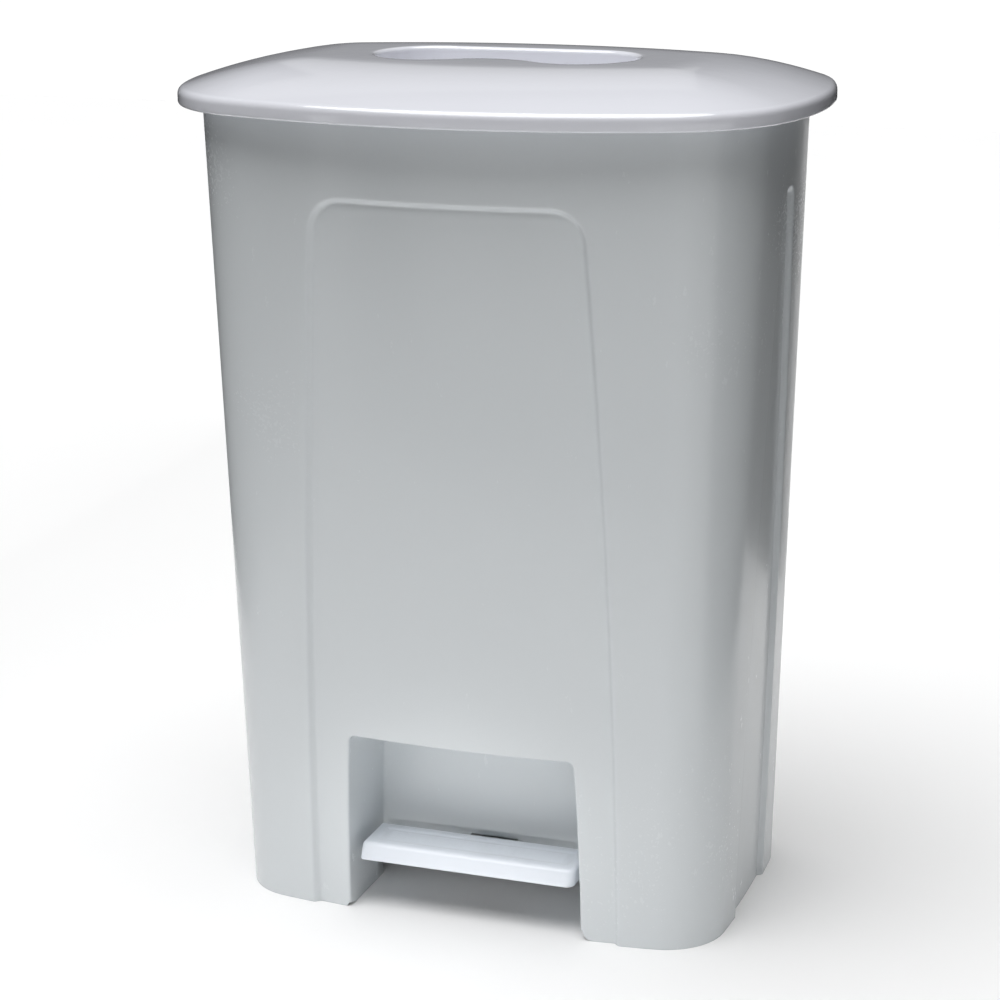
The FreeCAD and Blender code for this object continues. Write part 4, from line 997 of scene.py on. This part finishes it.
def make_lid_shell():
    """The lid: lip, band, rounded edge, crown and hand well, thickened downwards."""
    s = settings().sizes
    edge, rim, root = s.lid_edge / MM, s.well_edge / MM, s.well_root / MM
    centre = LID_CENTRE
    middle = Outline(LID, 50).loop(200)
    steps = np.r_[0, np.cumsum(np.hypot(*np.diff(middle, axis=0, append=middle[:1]).T))]
    spaced = np.linspace(0, steps[-1], 421)[:-1]
    xs = np.interp(spaced, steps, np.r_[middle[:, 0], middle[0, 0]])
    ys = np.interp(spaced, steps, np.r_[middle[:, 1], middle[0, 1]])
    angles = np.mod(np.arctan2(ys - centre[1], xs - centre[0]), 2 * math.pi)

    def ring(curve, z):
        x, y = at_angles(curve, centre, angles)
        return [(float(a), float(b), z) for a, b in zip(x, y)]

    slope = math.atan(LID_RISE * CROWN_POWER / CROWN_SPAN)
    arc_z = LID_SHOULDER + math.tan(slope) * edge - edge / math.cos(slope)
    profile = []
    for t in np.radians([80, 62, 45, 30, 15, 0]):
        profile.append((LID_LIP * (1 - math.cos(t)), LID_FOOT + LID_LIP * (1 - math.sin(t))))
    for t in np.linspace(0, math.pi / 2 - slope, 8):
        profile.append((edge * (1 - math.cos(t)), arc_z + edge * math.sin(t)))
    last = profile[-1][0]
    profile += [(e, crown(e)) for e in (last + 1.5, last + 3.5, 11, 15, 20, 26, 33, 41, 50, 60, 70, 80, 89, 97)]
    loops = [ring(Outline(LID, e).loop(200), z) for e, z in profile]
    outer = loops[-1]
    top = crown(CROWN_SPAN)
    mouth = ring(well_curve(rim), top)
    for t in (0.2, 0.4, 0.6, 0.8, 0.93):
        loops.append([
            (p[0] + (q[0] - p[0]) * t, p[1] + (q[1] - p[1]) * t, p[2] + (q[2] - p[2]) * smooth(2 * t))
            for p, q in zip(outer, mouth)
        ])
    loops.append(mouth)
    for t in np.radians([15, 30, 45, 60, 75, 90]):
        loops.append(ring(well_curve(rim * (1 - math.sin(t))), top - rim * (1 - math.cos(t))))
    for t in (0.25, 0.5, 0.75, 1.0):
        z = (top - rim) + (WELL_FLOOR + root - top + rim) * t
        loops.append(ring(well_curve(-WELL_DRAFT * t), z))
    for t in np.radians([18, 36, 54, 72, 90]):
        loops.append(ring(
            well_curve(-WELL_DRAFT - root * (1 - math.cos(t))), WELL_FLOOR + root * (1 - math.sin(t))))
    inner = loops[-1]
    for t in (0.75, 0.5, 0.25):
        loops.append([
            (centre[0] + (p[0] - centre[0]) * t, centre[1] + (p[1] - centre[1]) * t, p[2]) for p in inner])
    points, faces = rings(loops)
    start = (len(loops) - 1) * len(inner)
    pole = len(points)
    points.append((centre[0], centre[1], WELL_FLOOR))
    for j in range(len(inner)):
        faces.append((start + j, start + (j + 1) % len(inner), pole))
    shell = make_object("lid_shell", points, faces, material("lid_plastic"), 60)
    return thicken(shell, s.lid_wall / MM)


def make_knuckles():
    """The two hinge knuckles under the lid's back edge."""
    front, back, foot, top = 141.5, 150.5, 608, 616.6
    eye = circle_part(HINGE, HINGE_EYE, 160, 400, 22)
    profile = [(front, top), (front, foot)] + eye + [(back, foot), (back, top - 1.4)]
    return prisms("lid_knuckles", profile, both_ways([KNUCKLE_SPAN]), material("lid_plastic"), 0.5)


def make_lid_bosses():
    """Bosses under the lid for the crank's screws and the rubber buffers."""
    made = []
    for (x, y), z, length in (
        ((CRANK_SCREW_X, CRANK_SCREW_Y), 625.5, 9.3),
        (BUFFER_PLACE, 617.9, 2.5),
    ):
        for sign in (-1, 1):
            made.append(make_boss((x * sign, y, z), (0, 0, -1), length, material("lid_plastic")))
    return join(made, "lid_bosses")


# ---------------------------------------------------------------- pedal
def tread_loop(z, front, rear, half, inset):
    """Rounded outline of the tread, anticlockwise from the front left, with unlike corners."""
    def part(cx, cy, radius, start):
        return [(x, y, z) for x, y in circle_part((cx, cy), radius, start, start + 90, 9)]

    f, r, h = front + inset, rear - inset, half - inset
    rc, lc = (max(0.5, corner - inset) for corner in TREAD_CORNERS)
    bc = max(0.5, 2.5 - inset)
    loop = part(h - rc, f + rc, rc, -90) + part(h - bc, r - bc, bc, 0)
    loop += part(-h + bc, r - bc, bc, 90) + part(-h + lc, f + lc, lc, 180)
    return loop


def make_tread():
    """The hollow tread: sloped front, round edge, raised border and a sunk middle."""
    low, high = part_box("pedal_tread")
    z0, z1 = low.z / MM, high.z / MM
    y0, y1, half = low.y / MM, high.y / MM, high.x / MM
    fillet, border, sunk = TREAD_FILLET, TREAD_BORDER, TREAD_SUNK
    loops = []

    def level(z, inset):
        t = (z - z0) / (z1 - z0)
        loops.append(tread_loop(z, y0 + TREAD_SLOPE * t, y1, half, inset))

    for up, inset in ((0, 0.5), (0.2, 0.15), (0.6, 0.0), (3, 0.0), (6, 0.0), (z1 - z0 - fillet, 0.0)):
        level(z0 + up, inset)
    for t in np.radians([15, 30, 45, 60, 75, 90]):
        level(z1 - fillet * (1 - math.sin(t)), fillet * (1 - math.cos(t)))
    for inset in (4.5, border - 1.6):
        level(z1, inset)
    for t in (0.2, 0.4, 0.6, 0.8, 1.0):
        loops.append(tread_loop(z1 - sunk * smooth(t), y0 + TREAD_SLOPE, y1, half, border - 1.2 + 2.4 * t))
    loops.append(tread_loop(z1 - sunk, y0 + TREAD_SLOPE, y1, half, border + 3))
    points, faces = rings(loops, closed_top=True)
    shell = make_object("tread_shell", points, faces, material("pedal_plastic"), 50)
    return thicken(shell, TREAD_WALL)


def make_ribs():
    """Fine ribs along the sunk middle of the tread."""
    low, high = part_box("pedal_tread")
    count = settings().sizes.rib_count
    top = high.z / MM - TREAD_SUNK
    front, rear, half = low.y / MM + TREAD_SLOPE + RIB_INSET, high.y / MM - RIB_INSET, RIB_HALF
    pitch = (rear - front) / (count - 1)
    profile = [(-0.55, -0.3), (0.55, -0.3), (0.5, 0.0), (0.25, 0.18), (0.0, 0.23), (-0.25, 0.18), (-0.5, 0.0)]
    loops = [[(x, front + y * scale, top + z * scale) for y, z in profile]
             for x, scale in ((-half, 0.3), (-half + 1, 1.0), (half - 1, 1.0), (half, 0.3))]
    surface = material("pedal_plastic")
    rib = solid("tread_ribs", loops, surface)
    return rib_tree().apply(rib, count=count, pitch=(0.0, pitch * MM, 0.0), surface=surface)


# ---------------------------------------------------------------- fittings
def bevelled_copy(node, name, width, surface):
    """A clean copy of a fitting with its edges broken."""
    source = frame["nodes"][node].data
    mesh = bmesh.new()
    mesh.from_mesh(source)
    bmesh.ops.remove_doubles(mesh, verts=mesh.verts, dist=1e-6)
    bmesh.ops.dissolve_limit(
        mesh, angle_limit=math.radians(1.0), verts=mesh.verts, edges=mesh.edges,
        use_dissolve_boundaries=False)
    copy = bpy.data.meshes.new(name)
    mesh.to_mesh(copy)
    mesh.free()
    obj = finish_object(name, copy, surface, 35)
    return settle(soften(obj, width, 2, 32))


def make_screw(name, radius, height, length, surface):
    """A pan head screw with a cross recess, head up, its seat at the origin."""
    shank = [(0, -length), (0.7, -length + 1.2), (1.25, -length + 2.6), (1.3, -0.1), (1.35, 0.0)]
    head = [(radius - 0.15, 0.0), (radius, 0.2), (radius, height * 0.45), (radius * 0.93, height * 0.72),
            (radius * 0.75, height * 0.92), (radius * 0.45, height), (0, height)]
    screw = lathe(name, shank + head, (0, 0, 0), (0, 0, 1), surface)
    cutters = []
    for turn in (0, 1):
        arm, deep = radius * 0.55, height * 0.7
        loops = []
        for z, long, wide in ((height - deep, arm * 0.35, 0.18), (height + 0.5, arm, 0.36)):
            corners = [(-long, -wide), (long, -wide), (long, wide), (-long, wide)]
            loops.append([(-y, x, z) if turn else (x, y, z) for x, y in corners])
        cutter = solid("cutter", loops)
        cutters.append(cutter)
        cut = screw.modifiers.new("recess", "BOOLEAN")
        cut.operation, cut.solver, cut.object = "DIFFERENCE", "EXACT", cutter
    settle(screw)
    screw.data.materials.clear()
    screw.data.materials.append(surface)
    screw.data.set_sharp_from_angle(angle=math.radians(35))
    for cutter in cutters:
        bpy.data.objects.remove(cutter)
    return screw


# ---------------------------------------------------------------- operators
class PEDALBIN_OT_body(bpy.types.Operator):
    """Build the body moulding"""

    bl_idname = "pedal_bin.body"
    bl_label = "Body"

    def execute(self, context):
        for make in (make_skin, make_rim, make_floor, make_channel, make_lugs, make_brackets, make_bosses):
            piece = make()
            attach(piece, "bin")
            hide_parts("outer_body")
        return {"FINISHED"}


class PEDALBIN_OT_lid(bpy.types.Operator):
    """Build the lid moulding"""

    bl_idname = "pedal_bin.lid"
    bl_label = "Lid"

    def execute(self, context):
        for make in (make_lid_shell, make_knuckles, make_lid_bosses):
            piece = make()
            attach(piece, "lid")
            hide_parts("lid")
        return {"FINISHED"}


class PEDALBIN_OT_tread(bpy.types.Operator):
    """Build the pedal tread and its ribs"""

    bl_idname = "pedal_bin.tread"
    bl_label = "Pedal tread"

    def execute(self, context):
        for make in (make_tread, make_ribs):
            piece = make()
            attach(piece, "pedal")
            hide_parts("pedal_tread")
        return {"FINISHED"}


class PEDALBIN_OT_rod(bpy.types.Operator):
    """Build the push rod, bent from one bar"""

    bl_idname = "pedal_bin.rod"
    bl_label = "Push rod"

    def execute(self, context):
        low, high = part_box("push_rod")
        radius = ROD_RADIUS * MM
        foot_z, head_z = low.z + radius, high.z - radius
        foot_y, head_y = rod_y(foot_z / MM) * MM, rod_y(head_z / MM) * MM
        path = [(high.x, foot_y, foot_z), (0, foot_y, foot_z), (0, head_y, head_z), (0.0154, head_y, head_z)]
        mesh = bpy.data.meshes.new("push_rod_bar")
        mesh.from_pydata(path, [(0, 1), (1, 2), (2, 3)], [])
        bar, steel = put("push_rod_bar", mesh), material("bright_steel")
        rod = outward(sweep_tree().apply(bar, bar_radius=radius, bend_radius=ROD_BEND * MM, surface=steel))
        rod.data.shade_smooth()
        rod.data.set_sharp_from_angle(angle=math.radians(40))
        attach(rod, "rod")
        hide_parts("push_rod")
        return {"FINISHED"}


class PEDALBIN_OT_screws(bpy.types.Operator):
    """Set the screws of the cover, the crank and the tread"""

    bl_idname = "pedal_bin.screws"
    bl_label = "Screws"

    def execute(self, context):
        steel = material("zinc_steel")
        screw = make_screw("screw_pattern", 3.0, SCREW_HEAD, 9.0, steel)
        tree = scatter_tree()
        cover = []
        for n, (x, z) in enumerate(COVER_SCREWS):
            seat = float(near_points("cover_screws", x, z)[:, 1].max()) - SCREW_HEAD
            cover.append(((x, seat, z), (0, 1, 0), 0.7 * n))

        def pair(node, along, turn):
            """Two screws driven up from below, at the heights and depth of their node."""
            low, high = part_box(node)
            y, z = (low.y + high.y) / 2 / MM, low.z / MM + SCREW_HEAD
            return [((x, y, z), (0, 0, -1), turn + x) for x in (-along, along)]

        for name, node, places, body in (
            ("cover_screw_set", "cover_screws", cover, "bin"),
            ("crank_screw_set", "lid_crank_screws", pair("lid_crank_screws", CRANK_SCREW_X, 0.4), "lid"),
            ("tread_screw_set", "tread_screws", pair("tread_screws", TREAD_SCREW_X, 0.2), "pedal"),
        ):
            piece = scatter(tree, name, screw, places, steel)
            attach(piece, body)
            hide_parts(node)
        bpy.data.objects.remove(screw)
        return {"FINISHED"}


# node, name of its bevelled copy, edge width, material slot, body
COPIES = (
    ("rear_rod_cover", "rear_cover", 0.5, "body_plastic", "bin"),
    ("pedal_lever", "lever_arm", 0.4, "lever_steel", "pedal"),
    ("lid_crank", "crank_arm", 0.35, "lever_steel", "lid"),
    ("rod_guide_lower", "lower_guide", 0.4, "guide_plastic", "bin"),
    ("rod_guide_upper", "upper_guide", 0.4, "guide_plastic", "bin"),
)
# nodes shown as they are, by material slot
CARRIED = {
    "spring_steel": ("rod_clip_lower", "rod_clip_upper", "axle_clip_left", "axle_clip_right"),
    "bright_steel": ("pedal_axle", "lid_hinge_pin_left", "lid_hinge_pin_right"),
    "buffer_rubber": ("lid_buffer_left", "lid_buffer_right"),
}


class PEDALBIN_OT_fittings(bpy.types.Operator):
    """Finish the cover, lever, crank, guides, pins, clips and buffers"""

    bl_idname = "pedal_bin.fittings"
    bl_label = "Fittings"

    def execute(self, context):
        for node, name, width, slot, body in COPIES:
            piece = bevelled_copy(node, name, width, material(slot))
            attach(piece, body)
            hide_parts(node)
        for slot, nodes in CARRIED.items():
            for node in nodes:
                obj = frame["nodes"][node]
                if not obj.material_slots:
                    obj.data.materials.append(None)
                for item in obj.material_slots:
                    item.link = "OBJECT"
                    item.material = material(slot)
        return {"FINISHED"}


# ---------------------------------------------------------------- stage
# card: name, (x, y) of its two ends, height, in metres
CARDS = (
    ("right_card", (0.62, -0.25), (0.62, 1.4), 1.3),
    ("rear_card", (0.62, 0.75), (0.28, 0.75), 0.9),
    ("left_card", (-0.8, -0.9), (-0.8, 1.2), 1.3),
    ("front_card", (-0.8, -1.1), (0.45, -1.1), 0.8),
)


def make_studio():
    """White paper to stand on, and black cards out of sight that shade the bin's sides."""
    far = 4
    corners = [(-far, -far, 0), (far, -far, 0), (far, far, 0), (-far, far, 0)]
    floor = make_object("studio_floor", corners, [(0, 1, 2, 3)], scale=1.0)
    paper = Finish("floor_paper", Roughness=0.9)
    paper.colour(paper.mix(paper.noise(3.0, 3.0), (0.93, 0.93, 0.93, 1), (0.95, 0.95, 0.95, 1)))
    floor.data.materials.append(paper.material)
    black = Finish("black_card", Roughness=0.9, Specular_IOR_Level=0.0)
    black.colour(black.mix(black.noise(4.0), (0.0, 0.0, 0.0, 1), (0.004, 0.004, 0.004, 1)))
    for name, (x0, y0), (x1, y1), top in CARDS:
        corners = [(x0, y0, 0.001), (x1, y1, 0.001), (x1, y1, top), (x0, y0, top)]
        card = make_object(name, corners, [(0, 1, 2, 3)], black.material, scale=1.0)
        card.visible_camera = card.visible_shadow = False


def set_camera(s):
    """The camera, turned about its aim by azimuth, elevation and roll."""
    az, el, roll = (math.radians(v) for v in (s.azimuth, s.elevation, s.roll))
    back = Vector((math.sin(az) * math.cos(el), -math.cos(az) * math.cos(el), math.sin(el)))
    right = Vector((math.cos(az), math.sin(az), 0))
    up = back.cross(right)
    rolled = math.cos(roll) * right + math.sin(roll) * up
    raised = -math.sin(roll) * right + math.cos(roll) * up
    camera = put("camera", bpy.data.cameras.new("camera"))
    aim = Vector((-0.0080, 0, 0.3031))
    turn = Matrix((rolled, raised, back)).transposed()
    camera.matrix_world = Matrix.Translation(aim + back * s.distance) @ turn.to_4x4()
    camera.data.lens, camera.data.sensor_width = s.lens, 36.0
    camera.data.shift_x, camera.data.shift_y = -0.0008, -0.0064
    camera.data.clip_start, camera.data.clip_end = 0.05, 60.0
    bpy.context.scene.camera = camera


def set_world(s):
    """White to look at, and an even light that is dimmer towards both sides."""
    world = bpy.data.worlds.new("studio")
    bpy.context.scene.world = world
    world.use_nodes = True
    tree = world.node_tree
    sky = tree.nodes["Background"]
    sky.inputs[0].default_value = (0.95, 0.975, 1.0, 1)
    shown = add_node(tree, "ShaderNodeBackground", {}, {0: (1, 1, 1, 1), 1: 1.05}).outputs[0]
    way = add_node(tree, "ShaderNodeTexCoord", {}, {}).outputs["Generated"]
    across = add_node(tree, "ShaderNodeSeparateXYZ", {}, {0: way}).outputs["X"]
    off = add_node(tree, "ShaderNodeMath", {"operation": "ABSOLUTE"}, {0: across}).outputs[0]
    fall = add_node(tree, "ShaderNodeMapRange", {"interpolation_type": "SMOOTHSTEP"}, {
        "Value": off, "From Min": 0.2, "From Max": 0.8, "To Min": s.sky, "To Max": s.sky * s.shade,
    }).outputs["Result"]
    tree.links.new(fall, sky.inputs[1])
    seen = add_node(tree, "ShaderNodeLightPath", {}, {}).outputs["Is Camera Ray"]
    both = add_node(tree, "ShaderNodeMixShader", {}, {0: seen, 1: sky.outputs[0], 2: shown}).outputs[0]
    tree.links.new(both, tree.nodes["World Output"].inputs[0])


def set_lights(s):
    """Three soft lamps, each with place, aim, size, spread and power, and a soft light overhead."""
    for name, spot, aim, size, spread, power in (
        ("key_light", (0.0, -1.0, 0.3), (0.0, -0.1, 0.12), (0.9, 0.3), 180, s.key),
        ("pedal_light", (-0.02, -0.75, 0.2), (-0.005, -0.13, 0.06), (0.12, 0.06), 24, s.pedal),
        ("rear_light", (-1.2, 2.4, 1.8), (0.0, 0.0, 0.5), (1.6, 1.2), 180, s.rear),
    ):
        data = bpy.data.lights.new(name, "AREA")
        data.shape, data.size, data.size_y, data.energy = "RECTANGLE", size[0], size[1], power
        data.spread = math.radians(spread)
        lamp = put(name, data)
        lamp.location = spot
        lamp.rotation_euler = (Vector(spot) - Vector(aim)).to_track_quat("Z", "Y").to_euler()
        lamp.visible_camera = False
    data = bpy.data.lights.new("ceiling_light", "SUN")
    data.energy, data.angle = s.ceiling, math.radians(60)
    lamp = put("ceiling_light", data)
    lamp.rotation_euler = (math.radians(8), math.radians(-6), 0)


class PEDALBIN_OT_stage(bpy.types.Operator):
    """Set the floor, the lights and the camera"""

    bl_idname = "pedal_bin.stage"
    bl_label = "Stage"

    def execute(self, context):
        s = settings().stage
        make_studio()
        set_camera(s)
        set_world(s)
        set_lights(s)
        context.scene.view_settings.view_transform = "Standard"
        return {"FINISHED"}


OPERATORS = (
    PEDALBIN_OT_body,
    PEDALBIN_OT_lid,
    PEDALBIN_OT_tread,
    PEDALBIN_OT_rod,
    PEDALBIN_OT_screws,
    PEDALBIN_OT_fittings,
    PEDALBIN_OT_stage,
)


class PEDALBIN_PT_panel(bpy.types.Panel):
    """Lists the pieces of the bin and their settings"""

    bl_idname = "PEDALBIN_PT_panel"
    bl_label = "Pedal Bin"
    bl_space_type = "VIEW_3D"
    bl_region_type = "UI"
    bl_category = "Pedal Bin"

    def draw(self, context):
        column = self.layout.column()
        for operator in OPERATORS:
            column.operator(operator.bl_idname)
        for group in (settings().sizes, settings().finishes, settings().stage):
            box = column.box()
            for key in group.__annotations__:
                box.prop(group, key)


CLASSES = (PedalBinSizes, PedalBinFinishes, PedalBinStage, PedalBinSettings) + OPERATORS + (PEDALBIN_PT_panel,)


def register():
    for item in CLASSES:
        bpy.utils.register_class(item)
    bpy.types.Scene.pedal_bin = PointerProperty(type=PedalBinSettings)


def unregister():
    del bpy.types.Scene.pedal_bin
    for item in reversed(CLASSES):
        bpy.utils.unregister_class(item)


def main():
    register()
    for operator in OPERATORS:
        name = operator.bl_idname.split(".")[1]
        getattr(bpy.ops.pedal_bin, name)()


if __name__ == "__main__":
    main()
